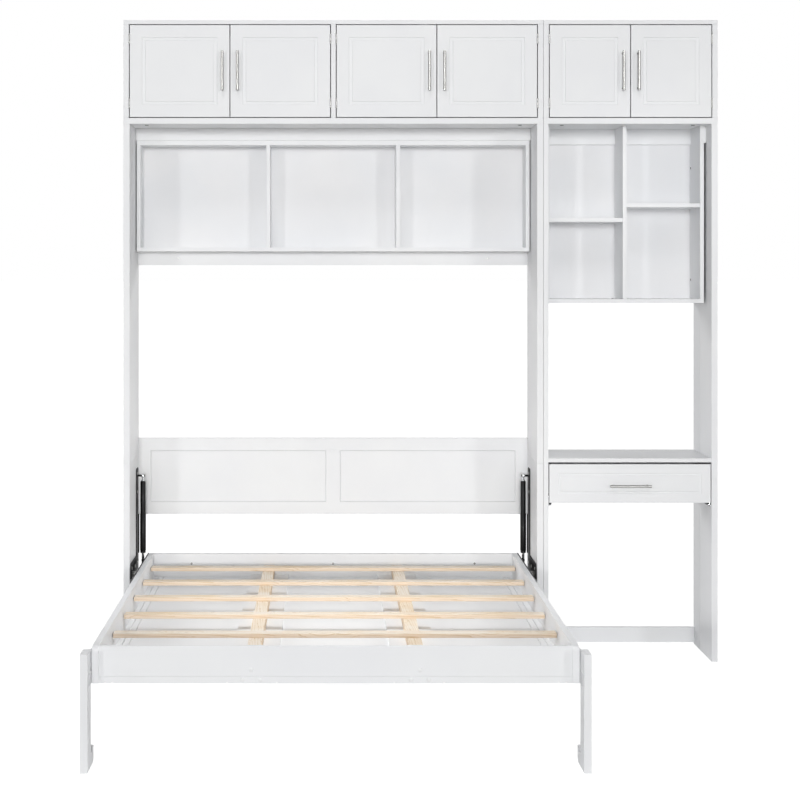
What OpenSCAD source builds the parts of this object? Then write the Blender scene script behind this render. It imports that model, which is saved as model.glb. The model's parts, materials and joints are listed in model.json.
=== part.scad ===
// Wall bed module with a drop-down slatted bed, a desk module beside it and a row of
// cupboards on top.  Millimetres, +X to the right, +Y to the wall, +Z up.
// The origin is on the floor, in the middle of the footprint with the bed down.

/* [Mattress] */
// Width of the mattress that the bed takes
mattress_w = 1372; // [1200:1:1530]
// Length of the mattress that the bed takes
mattress_l = 1905; // [1850:1:2030]
// Free width beside the mattress, each side
mattress_side_gap = 7.5; // [3:0.5:20]
// Free length in all, past the ends of the mattress
mattress_end_gap = 1; // [1:1:20]

/* [Modules] */
// Depth of every module, front edge to wall
unit_d = 370; // [365:1:400]
// Width of the desk module
desk_module_w = 645; // [560:1:800]
// Height of the row of cupboards
cupboard_h = 384; // [320:1:480]
// Clear width between the bed and a side panel, where the gas struts work
strut_gap = 41; // [41:1:60]
// Gap between the bed module and the desk module
module_gap = 0.8; // [0.3:0.1:0.9]
// Height at which the bed's side panels are jointed
bed_side_joint_z = 736; // [700:1:900]
// Thickness of the desk's side panel beside the bed
desk_inner_side_t = 18.5; // [15:0.5:25]
// Height at which the desk's side panels are jointed
desk_side_joint_z = 677; // [640:1:700]

/* [Boards] */
// Thickness of the tall side panels
side_t = 23; // [18:0.5:28]
// Thickness of shelves, uprights and the desktop
shelf_t = 15; // [12:0.5:20]
// Thickness of the cupboards' bases
cupboard_base_t = 22; // [15:0.5:28]
// Thickness of the cupboards' tops
cupboard_top_t = 15; // [12:0.5:20]
// Thickness of the cupboards' sides
cupboard_side_t = 20; // [15:0.5:25]
// Thickness of the partition in the wide cupboard
partition_t = 18; // [15:0.5:25]
// Thickness of rails across the back
rear_rail_t = 18; // [15:0.5:25]
// Thickness of the thin back panels
back_t = 5; // [3:0.5:8]
// Distance of the line between front and rear stile of a side panel from its front edge
stile_line_d = 245; // [200:1:300]
// Width of that line
stile_line_w = 3; // [1:0.5:4]
// Depth of that line
stile_line_deep = 2; // [0.5:0.5:3]

/* [Bookshelf] */
// Distance of the bookshelf's front from the module's front
bookshelf_front_d = 240; // [225:1:280]
// Height of the bookshelf's underside
bookshelf_z = 1522; // [1400:1:1600]
// Thickness of the bookshelf's top
bookshelf_top_t = 18; // [15:0.5:25]
// Height of the rail over the bookshelf
overhead_rail_h = 47; // [20:1:60]
// How far that rail stands in front of the bookshelf
overhead_rail_step = 4; // [1:1:8]
// Distance of each divider from the middle of the bookshelf
divider_x = 248.5; // [150:0.5:320]
// Gap between the bookshelf and a side panel
bookshelf_gap = 3.5; // [1:0.5:6]
// Height of the rail under the bookshelf
shelf_rail_h = 52; // [40:1:100]
// Distance between the two wall screws in that rail
wall_screw_pitch = 1200; // [600:10:1300]
// Diameter of a wall screw's hole
wall_screw_hole = 6; // [4:0.5:10]

/* [Headboard] */
// Height of the headboard's lower edge
headboard_z = 505; // [450:1:600]
// Height of the headboard itself
headboard_h = 295; // [200:1:400]
// Width of the border round its panels
headboard_border = 48; // [30:1:70]
// Width of its middle stile
headboard_stile = 54; // [40:1:80]
// Depth to which the panels lie back
headboard_recess = 3; // [1:0.5:6]
// Width of the groove round each panel
headboard_groove_w = 2; // [1:0.5:4]

/* [Bed] */
// Height of the bed's pivot
pivot_z = 315; // [305:1:330]
// Distance of the bed's pivot from the front edge
pivot_d = 75; // [70:1:80]
// How far the closed bed lies back from the front edge
face_inset = 4; // [1:1:10]
// Gap between the lowered bed and the wall
wall_gap = 10; // [6:1:20]
// Gap between the closed bed and the cupboards over it
closed_gap = 13; // [6:1:30]
// Thickness of the face panel, which is the front when the bed is closed
face_t = 20; // [12:0.5:22]
// Height of the side rails
rail_h = 109; // [100:1:130]
// Thickness of those rails
rail_t = 20; // [15:0.5:25]
// Radius of a side rail's upper corner at the foot end
rail_corner_r = 20; // [5:1:30]
// How far the foot rail lies back from the ends of the side rails
foot_inset = 4; // [1:1:10]
// Distance of the face panel's raised stiles from its middle
face_stile_x = 172; // [120:1:180]
// Width of a raised stile
face_stile_w = 146; // [110:1:160]
// Height of a raised stile over the panel
face_stile_t = 9; // [4:1:12]
// Distance of the panel's double joint lines from its middle
face_edge_line_x = 665; // [450:1:670]
// Distance between the two lines of a pair
face_line_pitch = 21; // [8:1:30]
// Width of a slat
slat_w = 55; // [40:1:80]
// Thickness of a slat
slat_t = 14; // [10:0.5:20]
// Depth of the slats' tops below the top of the rails
slat_drop = 30; // [20:1:40]
// Number of slats
slat_count = 5; // [4:1:6]
// Distance from one slat to the next
slat_pitch = 348; // [250:1:355]
// Distance of the rearmost slat's rear edge from the end of the bed
slat_start = 127.5; // [80:0.5:140]
// Gap between the end of a slat and the rail beside it
slat_end_gap = 3.5; // [1:0.5:8]
// Width of a bar under the slats
bar_w = 42; // [30:1:60]
// Distance of each bar from the middle of the bed
bar_x = 247; // [215:1:300]

/* [Legs] */
// Width of a leg's board, front to back
leg_w = 87; // [60:1:110]
// Thickness of a leg's board
leg_t = 22.5; // [18:0.5:25]
// How far a leg's front stands ahead of the bed's end
leg_reach = 80; // [70:1:100]
// Height of the leg
leg_h = 344; // [320:1:352]
// Distance of the leg's pivot behind the bed's end
leg_pivot_back = 18; // [16:1:26]
// Depth of the leg's pivot below the top of the rails
leg_pivot_drop = 18; // [12:1:30]
// Space between leg and rail, where the leg's plate turns
leg_gap = 3; // [2.5:0.5:5]
// Height of the foot's hook behind the leg
foot_h = 50; // [42:1:80]
// Height of the foot's floor between leg and hook
foot_floor_h = 38; // [28:1:41]
// Length of the foot behind the leg
foot_l = 68; // [50:1:90]
// Length of its hook
hook_l = 33; // [20:1:40]
// Height of the leg's bolt
leg_bolt_z = 262; // [255:1:280]

/* [Struts] */
// Thickness of the steel plates
plate_t = 3; // [2:0.5:4]
// Height of a strut's upper stud
strut_top_z = 661; // [640:1:690]
// Distance of a strut's studs from the wall, with the bed down
strut_inset = 85; // [78:1:100]
// Height of a strut's lower stud, with the bed down
strut_low_z = 327; // [322:1:335]
// Diameter of a strut's cylinder
cylinder_dia = 23; // [20:0.5:24]
// Diameter of the cylinder's upper part
cylinder_upper_dia = 20; // [17:0.5:20]
// Diameter of a strut's rod
rod_dia = 10; // [8:0.5:12]
// Wall of a strut's cylinder
cylinder_wall = 2; // [1:0.5:3]
// Diameter of the studs at a strut's ends
stud_dia = 8; // [6:0.5:10]
// Diameter of the bed's pivot pins
pivot_pin_dia = 14; // [10:0.5:18]

/* [Hutch] */
// Distance of the hutch's front from the module's front
hutch_front_d = 106; // [60:1:160]
// Height of the hutch's underside
hutch_z = 1327; // [1200:1:1450]
// Gap at the right of the hutch
hutch_gap = 8; // [2:1:15]
// Distance of the hutch's back panel from the wall
hutch_back_inset = 43; // [20:1:80]
// Height of the left shelf
left_shelf_z = 1632; // [1450:1:1850]
// Height of the right shelf
right_shelf_z = 1687; // [1450:1:1850]
// Height of the cleat under the cupboard
hutch_cleat_h = 59; // [30:1:80]

/* [Desk] */
// Height of the desktop's upper face
desk_z = 754; // [720:1:780]
// Height of the drawer's front
drawer_front_h = 143; // [110:1:180]
// Gap over the drawer's front
drawer_top_gap = 7; // [3:0.5:10]
// Thickness of the drawer's front
drawer_front_t = 18; // [12:0.5:20]
// Depth of the drawer box
drawer_l = 328; // [250:1:335]
// Depth of the drawer box's upper edge below the top of its front
drawer_box_drop = 9; // [4:1:50]
// Thickness of the drawer box's sides
drawer_side_t = 12; // [9:0.5:15]
// Thickness of the drawer's bottom
drawer_bottom_t = 4; // [3:0.5:8]
// Height of the rail near the floor
stretcher_h = 59; // [40:1:100]
// Height of that rail's underside
stretcher_z = 8; // [2:1:30]

/* [Doors] */
// Thickness of a door
door_t = 18; // [12:0.5:20]
// Gap round each door and round the drawer's front
door_gap = 3; // [2.8:0.1:5]
// Distance of a door's routed channel from its edges
channel_inset = 46; // [30:1:60]
// Width of a door's channel
channel_w = 12; // [6:1:16]
// Depth of the routed channels
channel_deep = 2.5; // [1:0.5:4]
// Length of a door's pull
pull_l = 147; // [140:1:180]
// Distance of the drawer's channel from the edges of its front
drawer_channel_inset = 34; // [20:1:45]
// Width of the drawer's channel
drawer_channel_w = 8; // [4:1:12]
// Length of the drawer's pull
drawer_pull_l = 153; // [140:1:180]
// Height of that pull over the front's lower edge
drawer_pull_h = 63; // [50:1:90]
// Diameter of a pull's bar
pull_dia = 10; // [8:0.5:14]
// Distance between a pull's posts
pull_pitch = 128; // [96:1:140]
// Distance of a pull's bar from the door
pull_reach = 26; // [20:1:35]
// Distance of a pull from the door's free edge
pull_inset = 26.5; // [15:0.5:40]
// Length of a hinge
hinge_l = 38; // [30:1:60]
// Distance of a hinge's middle from the end of its door
hinge_inset = 51; // [35:1:80]

/* [Hidden] */
$fn = 48;
// Clear distances
pin_fit = 0.05;        // radial clearance of a pin or rod in its bore
face_fit = 0.3;        // clearance between faces that pass each other
joint_gap = 0.3;       // hairline between two jointed panels

// Bed, worked out from the mattress
tray_w = mattress_w + 2 * mattress_side_gap + 2 * rail_t;
tray_l = mattress_l + mattress_end_gap + 2 * rail_t + foot_inset;
tray_rear_d = unit_d - wall_gap;
tray_foot_d = tray_rear_d - tray_l;
bed_z = pivot_z - pivot_d + face_inset;
face_top_z = bed_z + face_t;
rail_top_z = bed_z + rail_h;
foot_rail_d = tray_foot_d + foot_inset;
slat_top_z = rail_top_z - slat_drop;
slat_l = tray_w - 2 * rail_t - 2 * slat_end_gap;
bar_low_z = face_top_z + face_stile_t;

// Modules, worked out from the bed
bed_module_w = tray_w + 2 * strut_gap + 2 * side_t;
unit_w = bed_module_w + module_gap + desk_module_w;
unit_h = pivot_z + pivot_d - tray_foot_d + closed_gap;
total_h = unit_h + cupboard_h;
bed_x = (bed_module_w - unit_w) / 2;
desk_x = (unit_w - desk_module_w) / 2;
bed_half = tray_w / 2;
bay_half = bed_half + strut_gap;
desk_half = (desk_module_w - side_t - desk_inner_side_t) / 2;
desk_mid_x = desk_x + (desk_inner_side_t - side_t) / 2; // middle of the clear space
leg_front_d = tray_foot_d - leg_reach;
front_y = -(leg_front_d + unit_d) / 2;

// Bookshelf
bookshelf_top_z = unit_h - overhead_rail_h;
bookshelf_half = bay_half - bookshelf_gap;
bookshelf_back_d = unit_d - back_t;

// Steel plates of the bed's mechanism
plate_x = bay_half - plate_t;          // inner face of a side panel's plate
bed_plate_x = bed_half + plate_t;      // outer face of a bed rail's plate
strut_x = bed_plate_x + cylinder_dia / 2 + 2.5; // plane in which a strut works
strut_d = unit_d - strut_inset;        // a strut's studs, with the bed down
strip_w = 70;                          // width of the plate's upright strip
strip_d = strut_d - strip_w / 2;
strip_top_z = strut_top_z + 29;
strip_r = 10;                          // radius of the strip's corners
foot_plate_z = pivot_z - 14;
foot_plate_top_z = pivot_z + 45;
foot_plate_d = pivot_d - 50;
foot_plate_r = 6;                      // radius of the foot's corners
flange_w = 4;                          // width of the strip's stiffening flange
flange_drop = 151;                     // distance of the flange's upper end from the upper stud
flange_top_z = strut_top_z - flange_drop;
bed_plate_front_d = -210;
bed_plate_rear_d = tray_rear_d - 6;
bed_plate_r = 8;                       // radius of the plate's corners
bed_plate_h = 91;
bed_plate_rise = 3;                    // how far the plate stands over the rail
pivot_bush_dia = pivot_pin_dia + 8;
plate_screw_dia = 12;
plate_screw_h = 2.5;
plate_screw_edge = 20;                 // distance of a plate's screws from its edge

// Gas struts
eye_dia = 16;                          // end fitting round a stud
eye_w = rod_dia;
neck_dia = 10;
stud_end = 2;                          // how far the upper stud stands out of its eye
stud_collar_dia = stud_dia + 6;        // collar at the foot of the lower stud
stud_collar_h = 2;
cylinder_top_z = strut_top_z - 20;
cylinder_low_z = strut_low_z + 37;
cylinder_lower_h = 151;                // length of the cylinder's lower part
cylinder_step_z = cylinder_low_z + cylinder_lower_h;
guide_h = 10;                          // rod guide in the cylinder's mouth
cap_h = 3;                             // closed end of the cylinder
piston_h = 6;
piston_z = cylinder_top_z - cap_h - piston_h - 1;

// Legs
leg_x = bed_half + leg_gap;
leg_pivot_d = tray_foot_d + leg_pivot_back;
leg_pivot_z = rail_top_z - leg_pivot_drop;
leg_plate_t = leg_gap - 0.5;
leg_pin_dia = 10;
leg_pin_head_dia = 16;
leg_pin_head_h = 3;
leg_plate_top_z = leg_bolt_z + 19;
leg_plate_low_z = leg_bolt_z - 16;
leg_plate_front_d = leg_front_d + 30;
leg_plate_r = 10;                      // radius of the plate's corners
leg_plate_end_r = 12;                  // from the leg's pivot to the plate's edge
leg_bolt_d = leg_front_d + leg_w / 2;
leg_bolt_dia = 8;
leg_bolt_head_dia = 16;
leg_bolt_head_h = 5;
foot_r = 20;                           // radius of the foot's lower rear corner
hook_r = 6;                            // radius of the hook's upper corners

// Desk module
desk_left_x = desk_mid_x - desk_half;
desk_right_x = desk_mid_x + desk_half;
hutch_right_x = desk_right_x - hutch_gap;
hutch_mid_x = (desk_left_x + hutch_right_x) / 2;
hutch_back_d = unit_d - hutch_back_inset - back_t;
hutch_shelf_inset = 4;
hutch_floor_z = hutch_z + shelf_t;
spacer_h = 65;                         // height of the spacer beside the hutch's top
drawer_top_z = desk_z - shelf_t - drawer_top_gap;
drawer_z = drawer_top_z - drawer_front_h;
slide_x = 13;                          // room for a slide beside the drawer box
slide_h = 38;
slide_z = drawer_z - 12;
slide_l = 335;
slide_wall = 1.5;
slide_start_d = drawer_front_t + 2;
slide_depth = 10;                      // depth of the cabinet member's channel
slide_step = slide_wall + face_fit;    // how much smaller each member is
runner_l = slide_l - 15;               // length of the moving members
drawer_half = desk_half - slide_x;
drawer_box_z = drawer_z + 4;
drawer_box_top_z = drawer_top_z - drawer_box_drop;
drawer_bottom_z = drawer_box_z + 8;

// Cupboards
cupboard_z = unit_h;
door_z = cupboard_z + cupboard_base_t + door_gap;
door_top_z = total_h - cupboard_top_t - door_gap;
door_h = door_top_z - door_z;
wide_half = bed_module_w / 2;
narrow_half = desk_module_w / 2;
wide_door_w = (bed_module_w - 2 * cupboard_side_t - partition_t - 6 * door_gap) / 4;
narrow_door_w = (desk_module_w - 2 * cupboard_side_t - 3 * door_gap) / 2;
hinge_dia = 5;
hinge_pin_dia = 2.4;
hinge_leaf_t = 1.2;
hinge_leaf_w = 12;
hinge_axis_d = -(hinge_dia / 2 + 0.2);
knuckle_l = (hinge_l - 2 * face_fit) / 3;
catch_w = 46;
catch_l = 22;
catch_h = 12;
catch_offset = 45;                     // from a door's free edge to its catch's middle

// Left edge of each door: four over the bed, then two over the desk
door_left = [
    bed_x - wide_half + cupboard_side_t + door_gap,
    bed_x - wide_half + cupboard_side_t + 2 * door_gap + wide_door_w,
    bed_x + partition_t / 2 + door_gap,
    bed_x + partition_t / 2 + 2 * door_gap + wide_door_w,
    desk_x - narrow_half + cupboard_side_t + door_gap,
    desk_x - narrow_half + cupboard_side_t + 2 * door_gap + narrow_door_w
];
door_w = [wide_door_w, wide_door_w, wide_door_w, wide_door_w, narrow_door_w, narrow_door_w];
// Side on which each door is hinged: -1 left, 1 right
door_side = [-1, 1, -1, 1, -1, 1];

WHITE = [0.93, 0.93, 0.94];
PINE = [0.93, 0.82, 0.66];
BLACK = [0.09, 0.09, 0.10];
NICKEL = [0.70, 0.70, 0.69];
BRIGHT = [0.82, 0.83, 0.84];

// ---- Helpers: x across, d back from the front edge, z up from the floor ----

module board(x0, x1, d0, d1, z0, z1) {
    translate([x0, front_y + d0, z0]) cube([x1 - x0, d1 - d0, z1 - z0]);
}

// A profile drawn as (d, z), given a thickness across the bed
module across(x0, t) {
    translate([x0, front_y, 0]) rotate([90, 0, 90]) linear_extrude(t) children();
}

// A round bar along X
module pin_x(x0, x1, d, z, dia) {
    translate([x0, front_y + d, z]) rotate([0, 90, 0]) cylinder(h = x1 - x0, d = dia);
}

// A round bar along Y
module pin_y(x, d0, d1, z, dia) {
    translate([x, front_y + d0, z]) rotate([-90, 0, 0]) cylinder(h = d1 - d0, d = dia);
}

// Right half of the bed at side 1, its mirror image at side -1
module on_side(side) {
    translate([bed_x, 0, 0]) mirror([side < 0 ? 1 : 0, 0, 0]) children();
}

module on_both_sides() {
    for (side = [-1, 1]) on_side(side) children();
}

// Rectangle in (d, z) with rounded corners
module rounded_plate(d0, d1, z0, z1, r) {
    translate([d0 + r, z0]) square([d1 - d0 - 2 * r, z1 - z0]);
    translate([d0, z0 + r]) square([d1 - d0, z1 - z0 - 2 * r]);
    for (d = [d0 + r, d1 - r], z = [z0 + r, z1 - r]) translate([d, z]) circle(r);
}

// ---- Bed module ----

// One tall side: a lower and an upper panel, with a line between front and rear stile
module side_panel(x0, t, joint_z) {
    difference() {
        union() {
            board(x0, x0 + t, 0, unit_d, 0, joint_z - joint_gap / 2);
            board(x0, x0 + t, 0, unit_d, joint_z + joint_gap / 2, unit_h);
        }
        for (x = [x0 - 1, x0 + t - stile_line_deep])
            board(x, x + stile_line_deep + 1, stile_line_d, stile_line_d + stile_line_w, -1, unit_h + 1);
    }
}

module bed_side_left() {
    color(WHITE) side_panel(bed_x - bay_half - side_t, side_t, bed_side_joint_z);
}

module bed_side_right() {
    color(WHITE) side_panel(bed_x + bay_half, side_t, bed_side_joint_z);
}

module overhead_rail() {
    rail_d = bookshelf_front_d - overhead_rail_step;
    color(WHITE)
        board(bed_x - bay_half, bed_x + bay_half, rail_d, rail_d + shelf_t,
              bookshelf_top_z, unit_h);
}

// Rail under the bookshelf, drilled for the wall screws, and the hutch's cleat
module rear_cleats() {
    color(WHITE) {
        difference() {
            board(bed_x - bay_half, bed_x + bay_half, unit_d - rear_rail_t, unit_d,
                  bookshelf_z - shelf_rail_h, bookshelf_z);
            for (side = [-1, 1])
                pin_y(bed_x + side * wall_screw_pitch / 2, unit_d - rear_rail_t - 1, unit_d + 1,
                      bookshelf_z - shelf_rail_h / 2, wall_screw_hole);
        }
        for (half = [[desk_left_x + shelf_t, hutch_mid_x - shelf_t / 2],
                     [hutch_mid_x + shelf_t / 2, hutch_right_x - shelf_t]])
            board(half[0], half[1], hutch_back_d - rear_rail_t, hutch_back_d,
                  unit_h - hutch_cleat_h, unit_h);
    }
}

module headboard() {
    field_w = bay_half - headboard_stile / 2 - headboard_border;
    front_d = unit_d - rear_rail_t;
    groove_d = front_d + headboard_recess + 4;
    z0 = headboard_z + headboard_border;
    z1 = headboard_z + headboard_h - headboard_border;
    w = headboard_groove_w;
    color(WHITE)
    difference() {
        board(bed_x - bay_half, bed_x + bay_half, front_d, unit_d,
              headboard_z, headboard_z + headboard_h);
        for (x0 = [bed_x - bay_half + headboard_border, bed_x + headboard_stile / 2]) {
            board(x0, x0 + field_w, front_d - 1, front_d + headboard_recess, z0, z1);
            difference() {
                board(x0, x0 + field_w, front_d - 1, groove_d, z0, z1);
                board(x0 + w, x0 + field_w - w, front_d - 2, groove_d + 1, z0 + w, z1 - w);
            }
        }
    }
}

module bookshelf_boards() {
    color(WHITE) {
        board(bed_x - bookshelf_half, bed_x + bookshelf_half, bookshelf_front_d, bookshelf_back_d,
              bookshelf_top_z - bookshelf_top_t, bookshelf_top_z);
        board(bed_x - bookshelf_half, bed_x + bookshelf_half, bookshelf_front_d, bookshelf_back_d,
              bookshelf_z, bookshelf_z + shelf_t);
    }
}

module bookshelf_uprights() {
    middles = [-bookshelf_half + shelf_t / 2, -divider_x, divider_x, bookshelf_half - shelf_t / 2];
    color(WHITE)
    for (x = middles)
        board(bed_x + x - shelf_t / 2, bed_x + x + shelf_t / 2, bookshelf_front_d, bookshelf_back_d,
              bookshelf_z + shelf_t, bookshelf_top_z - bookshelf_top_t);
}

// ---- Desk module ----

module desk_side_left() {
    color(WHITE) side_panel(desk_left_x - desk_inner_side_t, desk_inner_side_t, desk_side_joint_z);
}

module desk_side_right() {
    color(WHITE) side_panel(desk_right_x, side_t, desk_side_joint_z);
}

module hutch_case() {
    color(WHITE) {
        board(desk_left_x, hutch_right_x, hutch_front_d, unit_d, hutch_z, hutch_floor_z);
        for (x0 = [desk_left_x, hutch_right_x - shelf_t])
            board(x0, x0 + shelf_t, hutch_front_d, unit_d, hutch_floor_z, unit_h);
        board(hutch_right_x, desk_right_x, hutch_front_d, hutch_front_d + rear_rail_t,
              unit_h - spacer_h, unit_h);
    }
}

module hutch_divider() {
    color(WHITE)
        board(hutch_mid_x - shelf_t / 2, hutch_mid_x + shelf_t / 2, hutch_front_d, hutch_back_d,
              hutch_floor_z, unit_h);
}

module hutch_shelves() {
    color(WHITE) {
        board(desk_left_x + shelf_t, hutch_mid_x - shelf_t / 2, hutch_front_d + hutch_shelf_inset,
              hutch_back_d, left_shelf_z, left_shelf_z + shelf_t);
        board(hutch_mid_x + shelf_t / 2, hutch_right_x - shelf_t, hutch_front_d + hutch_shelf_inset,
              hutch_back_d, right_shelf_z, right_shelf_z + shelf_t);
    }
}

module desktop() {
    color(WHITE) board(desk_left_x, desk_right_x, 0, unit_d, desk_z - shelf_t, desk_z);
}

module floor_stretcher() {
    color(WHITE)
        board(desk_left_x, desk_right_x, unit_d - rear_rail_t, unit_d,
              stretcher_z, stretcher_z + stretcher_h);
}

// Channel of a drawer slide, open towards the drawer; side 1 is the right-hand one
module slide_channel(side, x0, x1, d0, d1, z0, h) {
    translate([desk_mid_x, 0, 0]) mirror([side < 0 ? 1 : 0, 0, 0])
        difference() {
            board(x0, x1, d0, d1, z0, z0 + h);
            board(x0 - 1, x1 - slide_wall, d0 - 1, d1 + 1, z0 + slide_wall, z0 + h - slide_wall);
        }
}

// Cabinet member of each slide
module slide_channels() {
    color(BLACK)
    for (side = [-1, 1])
        slide_channel(side, desk_half - slide_depth, desk_half, slide_start_d,
                      slide_start_d + slide_l, slide_z, slide_h);
}

// ---- Cupboards ----

module cupboard_boards() {
    levels = [[cupboard_z, cupboard_base_t], [total_h - cupboard_top_t, cupboard_top_t]];
    color(WHITE)
    for (level = levels) {
        board(bed_x - wide_half, bed_x + wide_half, 0, unit_d - back_t,
              level[0], level[0] + level[1]);
        board(desk_x - narrow_half, desk_x + narrow_half, 0, unit_d - back_t,
              level[0], level[0] + level[1]);
    }
}

module cupboard_upright(x0, t) {
    board(x0, x0 + t, 0, unit_d - back_t, cupboard_z + cupboard_base_t, total_h - cupboard_top_t);
}

module bed_cupboard_uprights() {
    color(WHITE) {
        cupboard_upright(bed_x - wide_half, cupboard_side_t);
        cupboard_upright(bed_x - partition_t / 2, partition_t);
        cupboard_upright(bed_x + wide_half - cupboard_side_t, cupboard_side_t);
    }
}

module desk_cupboard_sides() {
    color(WHITE) {
        cupboard_upright(desk_x - narrow_half, cupboard_side_t);
        cupboard_upright(desk_x + narrow_half - cupboard_side_t, cupboard_side_t);
    }
}

// Thin backs of both cupboards, the bookshelf and the hutch
module back_panels() {
    color(WHITE) {
        board(bed_x - wide_half + joint_gap, bed_x + wide_half - joint_gap, unit_d - back_t, unit_d,
              cupboard_z + joint_gap, total_h - joint_gap);
        board(desk_x - narrow_half + joint_gap, desk_x + narrow_half - joint_gap,
              unit_d - back_t, unit_d, cupboard_z + joint_gap, total_h - joint_gap);
        board(bed_x - bookshelf_half, bed_x + bookshelf_half, bookshelf_back_d, unit_d,
              bookshelf_z + joint_gap, bookshelf_top_z);
        board(desk_left_x + shelf_t, hutch_right_x - shelf_t, hutch_back_d, hutch_back_d + back_t,
              hutch_floor_z, unit_h);
    }
}

// ---- Doors ----

// X of a door's hinge axis, and the direction from that axis to the door
function hinge_x(i) =
    door_side[i] < 0 ? door_left[i] - door_gap / 2 : door_left[i] + door_w[i] + door_gap / 2;
function to_door(i) = -door_side[i];

module at_hinges(i) {
    for (z = [door_z + hinge_inset, door_top_z - hinge_inset])
        translate([hinge_x(i), front_y, z - hinge_l / 2]) children();
}

// Channel routed as a frame into a front of width w and height h
module routed_channel(x0, z0, w, h, inset, wide) {
    inner = inset + wide;
    difference() {
        board(x0 + inset, x0 + w - inset, -1, channel_deep, z0 + inset, z0 + h - inset);
        board(x0 + inner, x0 + w - inner, -2, channel_deep + 1, z0 + inner, z0 + h - inner);
    }
}

module door(i) {
    color(WHITE)
    difference() {
        board(door_left[i], door_left[i] + door_w[i], 0, door_t, door_z, door_top_z);
        routed_channel(door_left[i], door_z, door_w[i], door_h, channel_inset, channel_w);
    }
}

// Upright pull on two posts
module upright_pull(x, z) {
    translate([x, front_y - pull_reach, z - pull_l / 2]) cylinder(h = pull_l, d = pull_dia);
    for (side = [-1, 1]) pin_y(x, -pull_reach, 0, z + side * pull_pitch / 2, pull_dia * 0.8);
}

// A hinge's leaf, in the gap beside the axis, towards dir
module hinge_leaf(dir) {
    x0 = dir > 0 ? door_gap / 2 - hinge_leaf_t : -door_gap / 2;
    translate([x0, 0, 0]) cube([hinge_leaf_t, hinge_leaf_w, hinge_l]);
}

// The tongue that carries one knuckle
module hinge_tongue(dir, z0) {
    x0 = dir > 0 ? door_gap / 2 - hinge_leaf_t : -door_gap / 2;
    translate([x0, hinge_axis_d, z0]) cube([hinge_leaf_t, -hinge_axis_d + 1, knuckle_l]);
    translate([0, hinge_axis_d, z0]) cylinder(h = knuckle_l, d = hinge_dia);
}

module door_hardware(i) {
    pull_x = door_side[i] < 0 ? door_left[i] + door_w[i] - pull_inset : door_left[i] + pull_inset;
    color(NICKEL) {
        upright_pull(pull_x, door_z + door_h / 2);
        at_hinges(i)
            difference() {
                union() {
                    hinge_leaf(to_door(i));
                    hinge_tongue(to_door(i), knuckle_l + face_fit);
                }
                translate([0, hinge_axis_d, -1])
                    cylinder(h = hinge_l + 2, r = hinge_pin_dia / 2 + pin_fit);
            }
    }
}

// Leaves on the case, each with two knuckles and the pin
module hinge_frames() {
    color(NICKEL)
    for (i = [0 : len(door_left) - 1])
        at_hinges(i) {
            hinge_leaf(-to_door(i));
            for (z0 = [0, hinge_l - knuckle_l]) hinge_tongue(-to_door(i), z0);
            translate([0, hinge_axis_d, 0]) cylinder(h = hinge_l, d = hinge_pin_dia);
        }
}

// Catches under the cupboards' tops, one for each door beside a partition or over the desk
module door_catches() {
    color(WHITE)
    for (i = [1, 2, 4, 5]) {
        middle = door_side[i] < 0 ? door_left[i] + door_w[i] - catch_offset : door_left[i] + catch_offset;
        board(middle - catch_w / 2, middle + catch_w / 2, door_t + 1, door_t + 1 + catch_l,
              total_h - cupboard_top_t - catch_h, total_h - cupboard_top_t);
    }
}

module bed_door_1() { door(0); }
module bed_door_1_hardware() { door_hardware(0); }
module bed_door_2() { door(1); }
module bed_door_2_hardware() { door_hardware(1); }
module bed_door_3() { door(2); }
module bed_door_3_hardware() { door_hardware(2); }
module bed_door_4() { door(3); }
module bed_door_4_hardware() { door_hardware(3); }
module desk_door_1() { door(4); }
module desk_door_1_hardware() { door_hardware(4); }
module desk_door_2() { door(5); }
module desk_door_2_hardware() { door_hardware(5); }

// ---- Drawer ----

module drawer_front() {
    color(WHITE)
    difference() {
        board(desk_left_x + door_gap, desk_right_x - door_gap, 0, drawer_front_t,
              drawer_z, drawer_top_z);
        routed_channel(desk_left_x + door_gap, drawer_z, 2 * desk_half - 2 * door_gap,
                       drawer_front_h, drawer_channel_inset, drawer_channel_w);
    }
}

module drawer_box() {
    rear_d = drawer_front_t + drawer_l;
    color(WHITE)
    difference() {
        board(desk_mid_x - drawer_half, desk_mid_x + drawer_half, drawer_front_t, rear_d,
              drawer_box_z, drawer_box_top_z);
        board(desk_mid_x - drawer_half + drawer_side_t, desk_mid_x + drawer_half - drawer_side_t,
              drawer_front_t + drawer_side_t, rear_d - drawer_side_t,
              drawer_box_z - 1, drawer_box_top_z + 1);
    }
}

module drawer_bottom() {
    color(WHITE)
        board(desk_mid_x - drawer_half + drawer_side_t, desk_mid_x + drawer_half - drawer_side_t,
              drawer_front_t + drawer_side_t, drawer_front_t + drawer_l - drawer_side_t,
              drawer_bottom_z, drawer_bottom_z + drawer_bottom_t);
}

module drawer_pull() {
    z = drawer_z + drawer_pull_h;
    color(NICKEL) {
        pin_x(desk_mid_x - drawer_pull_l / 2, desk_mid_x + drawer_pull_l / 2, -pull_reach, z, pull_dia);
        for (side = [-1, 1])
            pin_y(desk_mid_x + side * pull_pitch / 2, -pull_reach, 0, z, pull_dia * 0.8);
    }
}

// Middle member of each slide, in the cabinet member's channel
module slide_runners() {
    color(BRIGHT)
    for (side = [-1, 1])
        slide_channel(side, desk_half - slide_depth - 1, desk_half - slide_step, slide_start_d,
                      slide_start_d + runner_l, slide_z + slide_step, slide_h - 2 * slide_step);
}

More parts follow.
